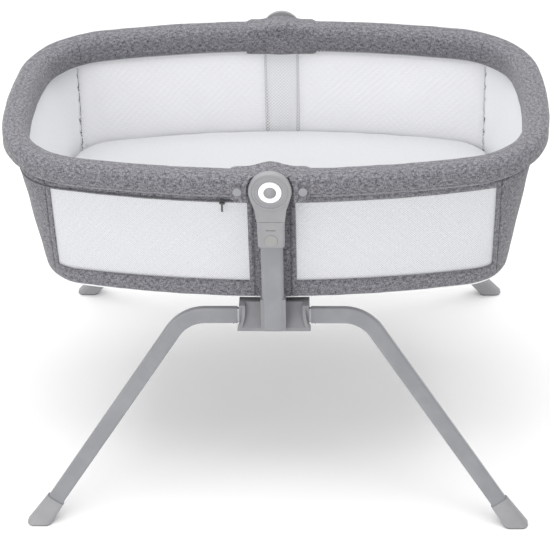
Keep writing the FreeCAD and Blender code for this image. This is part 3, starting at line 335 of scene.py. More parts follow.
# %% Moulded grain group
group, given, made = new_group(
    "moulded_grain",
    [
        ("Vector", "Vector", None),
        ("Grain size", "Float", 0.0009),
        ("Colour", "Color", srgb("a6a8a7")),
        ("Wear", "Float", 0.08),
    ],
    [("Colour", "Color"), ("Height", "Float"), ("Roughness", "Float")],
)
fine = soft_noise(group, given["Vector"], calc(group, "DIVIDE", 1.0, given["Grain size"]), 2.0)
broad = soft_noise(group, given["Vector"], 26.0, 4.0)
dust = calc(group, "MULTIPLY", remap(group, broad, 0.42, 0.68), given["Wear"])
group.links.new(blend_colour(group, dust, given["Colour"], srgb("e4e4e2")), made["Colour"])
group.links.new(fine, made["Height"])
group.links.new(remap(group, mixed(group, fine, 0.4, broad), 0.3, 0.7, 0.42, 0.56), made["Roughness"])
MOULDED_GRAIN = group
print("group", group.name, len(group.nodes), "nodes")

# %% [markdown]
# ## The finishes
#
# Each material places a group with its own values. Cloth pieces carry a UV map that is
# measured in metres along and across the cloth, so the weave has its real scale and
# follows the rim round its corners. They also carry a "crease" value that paints shade
# into sewn grooves and seams, a painted shadow where two layers of cloth meet.

# %% Cloth finishes
def cloth_uv(tree):
    return add_node(tree, "ShaderNodeUVMap", uv_map="cloth").outputs[0]


def crease_shade_value(tree):
    return add_node(tree, "ShaderNodeAttribute", attribute_name="crease").outputs["Fac"]


def melange_material(name, dark, light):
    material, tree, bsdf = new_material(name)
    yarn = use_group(tree, MELANGE_YARN, Vector=cloth_uv(tree), Dark=srgb(dark), Light=srgb(light))
    # Painted shade: the crease value darkens the cloth towards near black in seams and grooves.
    shade = calc(tree, "MULTIPLY", crease_shade_value(tree), 0.62)
    colour = blend_colour(tree, shade, yarn["Colour"], srgb("2c2b2f"))
    tree.links.new(colour, bsdf.inputs["Base Color"])
    tree.links.new(bump(tree, yarn["Height"], 0.00035), bsdf.inputs["Normal"])
    bsdf.inputs["Roughness"].default_value = 0.92
    bsdf.inputs["Sheen Weight"].default_value = 0.25
    bsdf.inputs["Sheen Roughness"].default_value = 0.5
    bsdf.inputs["Specular IOR Level"].default_value = 0.2
    return material


def knit_material(name, colour, shade, pitch, hole_share, painted_glow=0.0):
    material, tree, bsdf = new_material(name)
    knit = use_group(tree, OPEN_KNIT, Vector=cloth_uv(tree), Pitch=pitch, Hole_share=hole_share)
    # Painted shade: the yarn turns to the shade colour down towards each hole.
    shaded = blend_colour(tree, knit["Height"], srgb(shade), srgb(colour))
    tree.links.new(shaded, bsdf.inputs["Base Color"])
    tree.links.new(knit["Yarn"], bsdf.inputs["Alpha"])
    tree.links.new(bump(tree, knit["Height"], 0.0004), bsdf.inputs["Normal"])
    bsdf.inputs["Roughness"].default_value = 0.75
    bsdf.inputs["Sheen Weight"].default_value = 0.15
    # Painted light: a faint glow of the yarn's own colour stands in for light that passes through the mesh from
    # behind.
    bsdf.inputs["Emission Color"].default_value = srgb(colour)
    bsdf.inputs["Emission Strength"].default_value = painted_glow
    return material


def print_material(name, ground, ink, spacing, strength):
    material, tree, bsdf = new_material(name)
    where = cloth_uv(tree)
    sprigs = use_group(tree, FAINT_SPRIGS, Vector=where, Spacing=spacing)
    weave = use_group(tree, MELANGE_YARN, Vector=where, Dark=srgb("dcdde0"), Light=srgb("ffffff"),
                      Threads_per_metre=1600.0)
    base = blend_colour(tree, 0.12, srgb(ground), weave["Colour"])
    # Painted shade: the crease value greys the cotton in its seams and grooves.
    base = blend_colour(tree, calc(tree, "MULTIPLY", crease_shade_value(tree), 0.5), base, srgb("8f9095"))
    printed = blend_colour(tree, calc(tree, "MULTIPLY", sprigs["Ink"], strength), base, srgb(ink))
    tree.links.new(printed, bsdf.inputs["Base Color"])
    tree.links.new(bump(tree, weave["Height"], 0.00015), bsdf.inputs["Normal"])
    bsdf.inputs["Roughness"].default_value = 0.85
    bsdf.inputs["Sheen Weight"].default_value = 0.2
    return material


MELANGE = melange_material("melange_cloth", "3a393e", "939298")
MELANGE_STRAP = melange_material("melange_binding", "353439", "88878d")
WINDOW_KNIT = knit_material("window_knit", "dfe0e3", "cccdd1", 0.0030, 0.42)
# The inner mesh and the rear windows carry a painted glow, and the rear windows are a lighter copy of the window
# knit: painted light for the backlight that shows through them.
INNER_KNIT = knit_material("inner_knit", "f6f6f8", "eeeef1", 0.0044, 0.72, 0.05)
BACKLIT_REAR_KNIT = knit_material("rear_window_knit_painted_backlight", "f6f6f8", "eeeef1", 0.0030, 0.40, 0.09)
WHITE_COTTON = print_material("end_lining_cotton", "e9eaed", "b9bbc0", 0.085, 0.5)
MATTRESS_COTTON = print_material("mattress_cotton", "c2c3c5", "a6a7ab", 0.070, 0.5)
BACKING_CLOTH = print_material("band_backing", "e2e4e9", "e2e4e9", 0.070, 0.0)
print("cloth finishes:", [m.name for m in (MELANGE, WINDOW_KNIT, INNER_KNIT, WHITE_COTTON, MATTRESS_COTTON)])

# %% [markdown]
# ## Hard finishes
#
# Moulded plastic, powder-coated tube, steel, chrome and the small dark parts of the
# zip. Object coordinates are enough here, because a grain has no direction.

# %% Hard finishes
def grain_material(name, colour, grain, height, metallic=0.0, wear=0.06, roughness=None, coat=0.0):
    material, tree, bsdf = new_material(name)
    where = add_node(tree, "ShaderNodeTexCoord").outputs["Object"]
    skin = use_group(tree, MOULDED_GRAIN, Vector=where, Grain_size=grain, Colour=srgb(colour), Wear=wear)
    tree.links.new(skin["Colour"], bsdf.inputs["Base Color"])
    if roughness is None:
        tree.links.new(skin["Roughness"], bsdf.inputs["Roughness"])
    else:
        varied = remap(tree, skin["Height"], 0.3, 0.7, roughness * 0.8, roughness * 1.2)
        tree.links.new(varied, bsdf.inputs["Roughness"])
    tree.links.new(bump(tree, skin["Height"], height), bsdf.inputs["Normal"])
    bsdf.inputs["Metallic"].default_value = metallic
    bsdf.inputs["Coat Weight"].default_value = coat
    return material


GREY_PLASTIC = grain_material("grey_moulding", "8e8e91", 0.0007, 0.00004)
BUTTON_PLASTIC = grain_material("button_moulding", "8f8f8e", 0.0007, 0.00004)
# The base housings get a darker copy of the grey moulding: painted shade.
SHADED_HOUSING_PLASTIC = grain_material("housing_moulding_painted_shade", "7f7f83", 0.0009, 0.00005)
WHITE_CAP = grain_material("white_cap", "f3f4f5", 0.002, 0.00001, roughness=0.22, wear=0.02, coat=0.3)
PAINTED_TUBE = grain_material("powder_coat", "828387", 0.0014, 0.00003, roughness=0.38, wear=0.05, coat=0.15)
STEEL = grain_material("drawn_steel", "b4b5b6", 0.0010, 0.00002, metallic=1.0, roughness=0.35)
CHROME = grain_material("chrome", "e4e5e6", 0.0020, 0.00001, metallic=1.0, roughness=0.08, wear=0.0)
BUSH_PLASTIC = grain_material("bush_plastic", "dcdcd6", 0.0010, 0.00002)
BOARD = grain_material("hardboard", "a58a66", 0.0012, 0.00010, roughness=0.8)
RUBBER = grain_material("foot_rubber", "5b5c5e", 0.0008, 0.00006, roughness=0.85)
STUD = grain_material("press_stud", "8b8c90", 0.0010, 0.00002, roughness=0.4)
ZIP = grain_material("zip_dark", "4c4c50", 0.0008, 0.00003, roughness=0.5)
THREAD = grain_material("dark_thread", "3b3a3f", 0.0004, 0.00004, roughness=0.8)
WHITE_CORD = grain_material("white_piping", "f2f3f4", 0.0008, 0.00006, roughness=0.8)
FLOOR_PAINT = grain_material("studio_floor", "fdfdfd", 0.02, 0.00001, roughness=0.9, wear=0.0)
floor.data.materials.append(FLOOR_PAINT)

FINISH_OF_SLOT = {
    "grey_plastic": GREY_PLASTIC, "button_plastic": BUTTON_PLASTIC, "white_cap": WHITE_CAP,
    "painted_tube": PAINTED_TUBE, "steel": STEEL, "chrome": CHROME, "bush_plastic": BUSH_PLASTIC,
    "board": BOARD, "foot_rubber": RUBBER, "stud_plastic": STUD, "zip_dark": ZIP,
    "melange_fabric": MELANGE, "white_mesh": WINDOW_KNIT, "white_lining": WHITE_COTTON,
    "mattress_cover": MATTRESS_COTTON,
}
slot_of_node = {s["node"]: s["material_slot"] for s in frame["record"]["subparts"]}
for name, node in frame["nodes"].items():
    node.data.materials.clear()
    # Base housings take the darker copy of the grey moulding, which paints their shade.
    moulding = SHADED_HOUSING_PLASTIC if name.endswith("base_housing") else FINISH_OF_SLOT[slot_of_node[name]]
    node.data.materials.append(moulding)
print("finished", len(frame["nodes"]), "carried-over nodes")

# %% [markdown]
# ## The plan outline
#
# Seen from above, rim and basket are the same kind of rounded rectangle: shallow arcs
# along the sides and ends, joined by tighter corner arcs. The centres of those arcs
# follow from where two circles inside the big ones meet, and every soft piece uses
# them, so all layers of cloth stay parallel.

# %% Outline arcs
RIM_HALF_LENGTH, RIM_HALF_WIDTH, RIM_Z = 429.0, 263.0, 613.0
RIM_RADII = (1400.0, 800.0, 145.0)
PAD_WIDTH, PAD_HEIGHT, PAD_CORNER = 42.0, 43.5, 15.0
TUB_TOP, TUB_FOOT = (431.0, 262.0), (401.0, 254.0)
TUB_RADII = (1400.0, 700.0, 88.0)
TUB_TOP_Z, TUB_SHOULDER_Z, TUB_ROUNDING = 589.0, 401.0, 13.0
SEAM_X, WINDOW_X, WINDOW_Z = 364.0, (38.0, 357.0), (424.0, 575.0)


def outline_arcs(half_length, half_width, radii, inset=0.0):
    """Centres, radii and angles of the arcs in the quarter with positive x and y."""
    side, end, corner = (r - inset for r in radii)
    side_centre = Vector((0.0, half_width - inset - side))
    end_centre = Vector((half_length - inset - end, 0.0))
    apart = end_centre - side_centre
    reach_side, reach_end = side - corner, end - corner
    along = (reach_side**2 - reach_end**2 + apart.length_squared) / (2 * apart.length)
    off = math.sqrt(reach_side**2 - along**2)
    unit = apart.normalized()
    across = Vector((-unit.y, unit.x))
    corner_centre = max((side_centre + unit * along + across * (s * off) for s in (1, -1)), key=lambda c: c.y)
    to_corner = corner_centre - side_centre
    from_end = corner_centre - end_centre
    side_angle = math.atan2(to_corner.x, to_corner.y)
    end_angle = math.atan2(from_end.y, from_end.x)
    return {
        "side": (side_centre, side, side_angle),
        "corner": (corner_centre, corner, math.pi / 2 - side_angle - end_angle),
        "end": (end_centre, end, end_angle),
    }


def run_along(point, arcs):
    """Length in metres from the front middle along the outline, negative on the left."""
    x, y = abs(point.x) / MM, abs(point.y) / MM
    (sc, sr, sa), (cc, cr, ca), (ec, er, ea) = arcs["side"], arcs["corner"], arcs["end"]
    quarter = sr * sa + cr * ca + er * ea
    from_side = math.atan2(x - sc.x, y - sc.y)
    from_end = math.atan2(y - ec.y, x - ec.x)
    if from_side <= sa:
        run = from_side * sr
    elif from_end <= ea:
        run = quarter - from_end * er
    else:
        run = sr * sa + (math.atan2(x - cc.x, y - cc.y) - sa) * cr
    run = 2 * quarter - run if point.y > 0 else run
    return math.copysign(run * MM, point.x)


RIM_ARCS = outline_arcs(RIM_HALF_LENGTH, RIM_HALF_WIDTH, RIM_RADII)
TUB_ARCS = outline_arcs(*TUB_TOP, TUB_RADII)
quarter_run = sum(radius * angle for _, radius, angle in RIM_ARCS.values())
print("rim outline is", round(4 * quarter_run), "mm round")

# %% [markdown]
# ## Sweeping by spins
#
# An outline made of arcs can be swept with the spin operator alone: the section turns
# about the first centre, then the last ring it made turns about the next, and so on
# round the basket. A curve with a bevel would do it too, but its section would stay
# round, and its rings would not meet the seams exactly.

# %% Sweep and rings
STEPS = {"side": 40, "corner": 20, "end": 40}


def right_half_turns(arcs, gap=0.0):
    """Spins that carry a section from the front middle round the right end to the rear."""
    (sc, sr, sa), (cc, _, ca), (ec, _, ea) = arcs["side"], arcs["corner"], arcs["end"]
    first = sa - math.asin(gap / sr)
    return [
        ((0.0, -sc.y), first, STEPS["side"]),
        ((cc.x, -cc.y), ca, STEPS["corner"]),
        ((ec.x, 0.0), 2 * ea, STEPS["end"]),
        ((cc.x, cc.y), ca, STEPS["corner"]),
        ((0.0, sc.y), first, STEPS["side"]),
    ]


def whole_turns(arcs):
    """Spins for the closed outline, from the front middle and back to it."""
    half = right_half_turns(arcs)
    return half + [((-c[0], -c[1]), angle, steps) for c, angle, steps in half]


def sweep(bm, geom, turns):
    """Chain of spins about vertical axes; returns the last ring."""
    for centre, angle, steps in turns:
        spun = bmesh.ops.spin(bm, geom=geom, cent=(centre[0] * MM, centre[1] * MM, 0.0),
                              axis=(0.0, 0.0, 1.0), angle=angle, steps=steps)
        geom = spun["geom_last"]
    return geom


def outline_ring(bm, size, z, inset=0.0, radii=TUB_RADII):
    """Closed ring of edges on the outline of that half length and half width."""
    arcs = outline_arcs(size[0], size[1], radii, inset)
    before = set(bm.edges)
    start = bmesh.ops.create_vert(bm, co=(0.0, -(size[1] - inset) * MM, z * MM))["vert"]
    sweep(bm, start, whole_turns(arcs))
    edges = [e for e in bm.edges if e not in before]
    bmesh.ops.remove_doubles(bm, verts=list({v for e in edges for v in e.verts}), dist=0.1 * MM)
    return [e for e in bm.edges if e not in before]


def tub_ring(bm, z, inset=0.0):
    """Ring on the basket's outer face, or moved in from it, with the rounded foot."""
    share = max(0.0, (z - TUB_SHOULDER_Z) / (TUB_TOP_Z - TUB_SHOULDER_Z))
    size = [foot + share * (top - foot) for foot, top in zip(TUB_FOOT, TUB_TOP)]
    drop = min(max(0.0, TUB_SHOULDER_Z - z), TUB_ROUNDING)
    inset += TUB_ROUNDING - math.sqrt(TUB_ROUNDING**2 - drop**2)
    return outline_ring(bm, size, z, inset)


def side_y(x, z, inset=0.0):
    """How far out the basket's side stands at x and z, as a positive y in metres."""
    share = max(0.0, (z - TUB_SHOULDER_Z) / (TUB_TOP_Z - TUB_SHOULDER_Z))
    half_width = TUB_FOOT[1] + share * (TUB_TOP[1] - TUB_FOOT[1]) - inset
    radius = TUB_RADII[0] - inset
    return (half_width - radius + math.sqrt(radius**2 - x**2)) * MM


def bridged(rings_of):
    """Wall between rings; rings_of is a list of functions that each add one ring."""
    bm = bmesh.new()
    rings = [make(bm) for make in rings_of]
    for lower, upper in zip(rings, rings[1:]):
        bmesh.ops.bridge_loops(bm, edges=lower + upper)
    bmesh.ops.recalc_face_normals(bm, faces=bm.faces)
    return bm


print("a full ring has", 2 * sum(s * (2 if k != "end" else 1) for k, s in STEPS.items()), "steps")

# %% [markdown]
# ## From a mesh to a piece
#
# Each piece becomes an object at the origin, rides on its body, takes its material and
# hides the engineering nodes it stands for. Cloth also gets its UV map in metres and a
# closed thickness.

# %% Piece helpers
def piece(name, bm, material, body, replaces=()):
    """Object from a mesh, riding on a body."""
    mesh = bpy.data.meshes.new(name)
    bm.to_mesh(mesh)
    bm.free()
    mesh.materials.append(material)
    for polygon in mesh.polygons:
        polygon.use_smooth = True
    obj = bpy.data.objects.new(name, mesh)
    bpy.context.scene.collection.objects.link(obj)
    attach(obj, body)
    if replaces:
        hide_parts(*replaces)
    print(f"{name}: {len(mesh.polygons)} faces")
    return obj


def wall_uv(bm, arcs=TUB_ARCS):
    """Cloth UV for upright walls: length along the outline, and height."""
    layer = bm.loops.layers.uv.new("cloth")
    for face in bm.faces:
        for loop in face.loops:
            co = loop.vert.co
            run = run_along(co, arcs)
            if abs(face.calc_center_median().x) > 1e-6 and run * face.calc_center_median().x < 0:
                run = -run
            loop[layer].uv = (run, co.z)


def flat_uv(bm, first=0, second=1):
    """Cloth UV straight from two coordinates."""
    layer = bm.loops.layers.uv.new("cloth")
    for face in bm.faces:
        for loop in face.loops:
            loop[layer].uv = (loop.vert.co[first], loop.vert.co[second])


def thicken(bm, thickness):
    """Wall thickness inwards from the faces that are there, with closed edges."""
    bm.normal_update()
    bmesh.ops.solidify(bm, geom=bm.faces, thickness=thickness * MM)
    bmesh.ops.recalc_face_normals(bm, faces=bm.faces)


def crease_shade_layer(bm):
    return bm.verts.layers.float.get("crease") or bm.verts.layers.float.new("crease")


def cut_along(bm, point, normal, offsets=(0.0,), where=None):
    """Cuts the mesh by parallel planes, only where the test holds."""
    normal = Vector(normal).normalized()
    for offset in offsets:
        faces = [f for f in bm.faces if where is None or where(f.calc_center_median())]
        geom = faces + list({e for f in faces for e in f.edges}) + list({v for f in faces for v in f.verts})
        place = Vector(point) + normal * offset * MM
        bmesh.ops.bisect_plane(bm, geom=geom, dist=1e-7, plane_co=place, plane_no=normal)


def sewn_groove(bm, point, normal, depth, width, where):
    """Narrow groove along a plane, as a sewn seam pulls it in, with painted shade at its bottom."""
    cut_along(bm, point, normal, (-width, 0.0, width), where)
    layer, normal = crease_shade_layer(bm), Vector(normal).normalized()
    bm.normal_update()
    found = [v for v in bm.verts if abs((v.co - Vector(point)).dot(normal)) < 1e-5 and where(v.co)]
    for v in found:
        v.co -= v.normal * depth * MM
        v[layer] = 1.0
    return len(found)


def ripple(bm, amount, size, seed, keep=lambda co: 1.0):
    """Uneven cloth: each point moves along its normal by a smooth noise."""
    bm.normal_update()
    for v in bm.verts:
        place = v.co / (size * MM) + Vector((seed * 7.3, seed * 3.1, seed * 1.7))
        v.co += v.normal * noise.noise(place) * amount * MM * keep(v.co)


def mirror_mesh(bm, axis):
    """Turns a front or right-hand mesh into its rear or left-hand one."""
    factors = Vector((1.0, 1.0, 1.0))
    factors[axis] = -1.0
    bmesh.ops.scale(bm, vec=factors, verts=bm.verts)
    bmesh.ops.reverse_faces(bm, faces=bm.faces)


def keep_faces(bm, test):
    """Deletes the faces whose middle fails the test."""
    bmesh.ops.delete(bm, geom=[f for f in bm.faces if not test(f.calc_center_median())], context="FACES")


print("piece helpers ready")

# %% [markdown]
# ## The padded rim
#
# Two bent tubes run inside a foam sleeve that is covered with melange cloth. The
# section starts as a square face whose corners are bevelled round; its long edges are
# divided, so the cloth can crown between them. The foam hangs lower on the inside than
# on the outside, so the section is skewed. The lower outer corner has a sewn lip, and
# the rear corners have a cross seam where two lengths of cloth are joined.

# %% Rim section
LIP_Z = -11.5
LIP_WIDTH = 1.5
PAD_OUTWARD, PAD_TOP = 2.0, 21.0
PAD_OUTER_LIFT, PAD_TOP_LIFT, PAD_INNER_DROP = 4.5, 2.2, 8.5


def pad_section(bm):
    """Edges of the pad's rounded section at the front middle, outer side towards -Y."""
    corners = bmesh.ops.create_grid(bm, x_segments=1, y_segments=1, size=0.5)["verts"]
    bmesh.ops.scale(bm, vec=(PAD_HEIGHT * MM, PAD_WIDTH * MM, 1.0), verts=corners)
    bmesh.ops.bevel(bm, geom=corners, offset=PAD_CORNER * MM, offset_type="OFFSET",
                    affect="VERTICES", segments=5, profile=0.5, material=-1)
    long_edges = [e for e in bm.edges if e.calc_length() > 8 * MM]
    bmesh.ops.subdivide_edges(bm, edges=long_edges, cuts=3)
    bmesh.ops.rotate(bm, cent=(0, 0, 0), matrix=Matrix.Rotation(math.pi / 2, 3, "Y"), verts=bm.verts)
    bmesh.ops.delete(bm, geom=list(bm.faces), context="FACES_ONLY")
    for offset in (-LIP_WIDTH, 0.0, LIP_WIDTH):
        outer = [e for e in bm.edges if all(v.co.y < 0 for v in e.verts)]
        bmesh.ops.bisect_plane(bm, geom=outer + list({v for e in outer for v in e.verts}), dist=1e-7,
                               plane_co=(0, 0, (LIP_Z + offset) * MM), plane_no=(0, 0, 1))
    layer = crease_shade_layer(bm)
    for v in bm.verts:
        across, height = v.co.y / (PAD_WIDTH * MM / 2), v.co.z / (PAD_HEIGHT * MM / 2)
        # The lip line is pushed in and gets a full crease value: painted shade for the dark line under the lip.
        if v.co.y < 0 and abs(v.co.z - LIP_Z * MM) < 1e-6:
            v[layer] = 1.0
            v.co.y += 1.5 * MM
        v.co.y *= 1 + 0.04 * (1 - height**2)
        if across < 0:
            v.co.z -= across * MM * (PAD_OUTER_LIFT * (1 - height) / 2 + PAD_TOP_LIFT * (1 + height) / 2)
        else:
            v.co.z -= across * MM * PAD_INNER_DROP * (1 - height) / 2
    rise = RIM_Z + PAD_TOP - PAD_HEIGHT / 2
    bmesh.ops.translate(bm, vec=(0.0, -(RIM_HALF_WIDTH + PAD_OUTWARD) * MM, rise * MM), verts=bm.verts)
    return list(bm.verts) + list(bm.edges)


PAD_GAP = 28.0
section_bm = bmesh.new()
pad_section(section_bm)
print("pad section has", len(section_bm.edges), "edges")
section_bm.free()

# %% Rim padding
def pad_uv(bm):
    """Cloth UV for the pad: length along the rim, and distance round the section."""
    layer = bm.loops.layers.uv.new("cloth")
    for face in bm.faces:
        angles = []
        for loop in face.loops:
            co = loop.vert.co
            foot = nearest_on_rim(co)
            angles.append(math.atan2(co.z - RIM_Z * MM, foot))
        for loop, angle in zip(face.loops, angles):
            if max(angles) - min(angles) > math.pi and angle < 0:
                angle += 2 * math.pi
            loop[layer].uv = (run_along(loop.vert.co, RIM_ARCS), angle * 27 * MM)


def nearest_on_rim(point):
    """Signed distance outwards from the rim's centre line, in plan, in metres."""
    x, y = abs(point.x) / MM, abs(point.y) / MM
    (sc, sr, sa), (cc, cr, _), (ec, er, ea) = RIM_ARCS["side"], RIM_ARCS["corner"], RIM_ARCS["end"]
    if math.atan2(x - sc.x, y - sc.y) <= sa:
        return (math.hypot(x - sc.x, y - sc.y) - sr) * MM
    if math.atan2(y - ec.y, x - ec.x) <= ea:
        return (math.hypot(x - ec.x, y - ec.y) - er) * MM
    return (math.hypot(x - cc.x, y - cc.y) - cr) * MM


def rim_padding(hand):
    """Padding of the right half, or mirrored for the left."""
    bm = bmesh.new()
    geom = pad_section(bm)
    side_centre, side_radius, _ = RIM_ARCS["side"]
    bmesh.ops.rotate(bm, cent=(0.0, -side_centre.y * MM, 0.0), verts=bm.verts,
                     matrix=Matrix.Rotation(math.asin(PAD_GAP / side_radius), 3, "Z"))
    sweep(bm, geom, right_half_turns(RIM_ARCS, PAD_GAP))
    for ring in (lambda v: v.co.y < 0, lambda v: v.co.y > 0):
        ends = [e for e in bm.edges if e.is_boundary and all(ring(v) and v.co.x < 50 * MM for v in e.verts)]
        bmesh.ops.edgeloop_fill(bm, edges=ends)
    bmesh.ops.recalc_face_normals(bm, faces=bm.faces)
    ripple(bm, 0.9, 34.0, 1 + hand)
    ripple(bm, 0.35, 11.0, 4 + hand)
    corner_centre = RIM_ARCS["corner"][0]
    centre = Vector((corner_centre.x * MM, corner_centre.y * MM, 0.0))
    angle = RIM_ARCS["side"][2] + REAR_SEAM_TURN
    tangent = Vector((math.cos(angle), -math.sin(angle), 0.0))
    points = sewn_groove(bm, centre, tangent, 1.6, 1.7, lambda co: co.x > centre.x and co.y > centre.y)
    pad_uv(bm)
    if hand < 0:
        mirror_mesh(bm, 0)
    name = "right" if hand > 0 else "left"
    print(name, "rear seam has", points, "points")
    return piece(name + "_rim_cover", bm, MELANGE, "basket", [name + "_rim_padding"])


REAR_SEAM_TURN = 0.42
rim_covers = [rim_padding(hand) for hand in (1, -1)]

# %% [markdown]
# ## The basket's cloth walls
#
# A ring of points on the outline at each height is bridged to the next, which gives one
# shell for the whole basket. Planes cut it exactly at the window edges and the corner
# seams, and each sewn part is then the set of faces between its own cuts. That keeps
# neighbours edge to edge without any fitting.

# %% Basket shell
FOOT_LEVELS = [389.6, 391.0, 393.0, 396.0, 399.5, 403.0]
WALL_LEVELS = FOOT_LEVELS + [413.5] + [WINDOW_Z[0] + i * 12.58 for i in range(13)] + [581.0, 592.0]
CLOTH = 2.0
BAND_SEAM_X = 29.3
WINDOW_SAG = 3.5


SHELLS = {}


def shell(levels, inset=0.0):
    """The basket's wall between the heights, moved in from its outer face."""
    key = (tuple(levels), inset)
    if key not in SHELLS:
        SHELLS[key] = bridged([lambda bm, z=z: tub_ring(bm, z, inset) for z in levels])
    return SHELLS[key].copy()


def in_window(co, grow=0.0):
    """True where a point is inside one of the four windows."""
    x, z = abs(co.x) / MM, co.z / MM
    inside_x = WINDOW_X[0] - grow < x < WINDOW_X[1] + grow
    return inside_x and WINDOW_Z[0] - grow < z < WINDOW_Z[1] + grow


def front_cuts(bm, xs, zs):
    """Cuts the front side at those distances from the middle and those heights."""
    for x in xs:
        for s in (-1, 1):
            cut_along(bm, (s * x * MM, 0, 0), (1, 0, 0), where=lambda co: co.y < 0 and abs(co.x) < 0.38)
    for z in zs:
        cut_along(bm, (0, 0, z * MM), (0, 0, 1), where=lambda co: co.y < 0 and abs(co.x) < 0.38)


def side_panel(side):
    """Melange frame round the two windows of one side."""
    bm = shell(WALL_LEVELS)
    keep_faces(bm, lambda co: co.y < 0 and abs(co.x) < 0.40)
    front_cuts(bm, (WINDOW_X[0], WINDOW_X[1], SEAM_X), WINDOW_Z)
    keep_faces(bm, lambda co: abs(co.x) < SEAM_X * MM and not in_window(co))
    for v in bm.verts:
        out, near = abs(v.co.x) / MM - WINDOW_X[0], 1 - abs(v.co.z / MM - WINDOW_Z[0]) / 20
        if out > 0 and near > 0:
            v.co.z -= WINDOW_SAG * MM * (out / (WINDOW_X[1] - WINDOW_X[0])) ** 2 * near
    ripple(bm, 0.7, 30.0, 7 + side, lambda co: 1.0 if abs(co.x) > 0.04 else 0.3)
    for s in (-1, 1):
        sewn_groove(bm, (s * BAND_SEAM_X * MM, 0, 0), (1, 0, 0), 1.1, 1.5, lambda co: abs(co.x) < 0.05)
    # The corner seam lines are pushed in and get painted shade through the crease value.
    layer = crease_shade_layer(bm)
    for v in bm.verts:
        if abs(abs(v.co.x) - SEAM_X * MM) < 1e-5:
            v[layer] = 0.9
            v.co.y += 0.9 * MM
    thicken(bm, CLOTH)
    wall_uv(bm)
    if side > 0:
        mirror_mesh(bm, 1)
    name = "rear" if side > 0 else "front"
    panel = piece(name + "_side_cloth", bm, MELANGE, "basket", [name + "_side_panel"])
    return panel


side_cloths = [side_panel(side) for side in (-1, 1)]

# %% End panels
def end_panel(hand):
    """Melange cloth round one end, from corner seam to corner seam."""
    bm = shell(WALL_LEVELS)
    keep_faces(bm, lambda co: co.x > 0.33)
    for s in (-1, 1):
        cut_along(bm, (SEAM_X * MM, 0, 0), (1, 0, 0), where=lambda co: co.y * s > 0)
    keep_faces(bm, lambda co: co.x > SEAM_X * MM)
    ripple(bm, 1.4, 45.0, 11 + hand, lambda co: 1.0)
    ripple(bm, 0.4, 14.0, 15 + hand)
    # The corner seam lines are pushed in and get painted shade through the crease value.
    layer = crease_shade_layer(bm)
    for v in bm.verts:
        if abs(v.co.x - SEAM_X * MM) < 0.4 * MM:
            v[layer] = 0.9
            v.co.y -= math.copysign(0.9 * MM, v.co.y)
    thicken(bm, CLOTH)
    wall_uv(bm)
    if hand < 0:
        mirror_mesh(bm, 0)
    name = "right" if hand > 0 else "left"
    panel = piece(name + "_end_cloth", bm, MELANGE, "basket", [name + "_end_panel"])
    return panel


end_cloths = [end_panel(hand) for hand in (1, -1)]

# %% [markdown]
# ## Windows, inner mesh and linings
#
# Behind the melange frame lies the outer window mesh, a little slack, so it bows
# inwards. A second mesh lines the whole side from corner to corner, the ends are lined
# with printed cotton, and a pale strip backs the band behind each upright.

# %% Windows and inner mesh
PANE_OVERLAP, PANE_INSET, PANE_SLACK = 6.5, 2.4, 2.2


def window_pane(side, hand):
    """One outer window of knitted mesh, sewn behind the frame."""
    bm = shell([WINDOW_Z[0] - PANE_OVERLAP + i * 11.714 for i in range(15)], PANE_INSET)
    x0, x1 = WINDOW_X[0] - PANE_OVERLAP, WINDOW_X[1] + PANE_OVERLAP
    keep_faces(bm, lambda co: co.y < 0 and 0.01 < co.x < 0.40)
    for x in (x0, x1):
        cut_along(bm, (x * MM, 0, 0), (1, 0, 0))
    keep_faces(bm, lambda co: x0 * MM < co.x < x1 * MM)
    for v in bm.verts:
        share_x = (v.co.x / MM - x0) / (x1 - x0)
        share_z = (v.co.z / MM - WINDOW_Z[0] + PANE_OVERLAP) / (WINDOW_Z[1] - WINDOW_Z[0] + 2 * PANE_OVERLAP)
        bow = max(0.0, math.sin(math.pi * share_x)) * max(0.0, math.sin(math.pi * share_z))
        wave = noise.noise(v.co / (60 * MM) + Vector((side * 5.0, hand * 3.0, 0.0)))
        v.co.y += bow * (PANE_SLACK + 1.0 * wave) * MM
    thicken(bm, 0.5)
    wall_uv(bm)
    if hand < 0:
        mirror_mesh(bm, 0)
    if side > 0:
        mirror_mesh(bm, 1)
    name = ("rear_" if side > 0 else "front_") + ("right_" if hand > 0 else "left_")
    # Rear panes take the lighter knit with a painted glow, for the backlight through them.
    knit = BACKLIT_REAR_KNIT if side > 0 else WINDOW_KNIT
    pane = piece(name + "window_mesh", bm, knit, "basket", [name + "window"])
    return pane


panes = [window_pane(side, hand) for side in (-1, 1) for hand in (1, -1)]

# %% Inner mesh, end linings and band backing
LINING_INSET, LINING_FOOT_Z = 6.2, 396.8
LINING_LEVELS = [LINING_FOOT_Z + i * 12.1 for i in range(17)]


def lining(name, keep, cut_xs, material, inset, thickness, amount, seed):
    """Part of the inner layer between cuts."""
    bm = shell(LINING_LEVELS, inset)
    keep_faces(bm, lambda co: keep(co) or any(abs(co.x) < (x + 20) * MM and keep(co) for x in cut_xs))
    for x in cut_xs:
        for s in (-1, 1):
            cut_along(bm, (s * x * MM, 0, 0), (1, 0, 0))
    keep_faces(bm, keep)
    ripple(bm, amount, 40.0, seed)
    thicken(bm, thickness)
    wall_uv(bm)
    made = piece(name, bm, material, "basket")
    return made


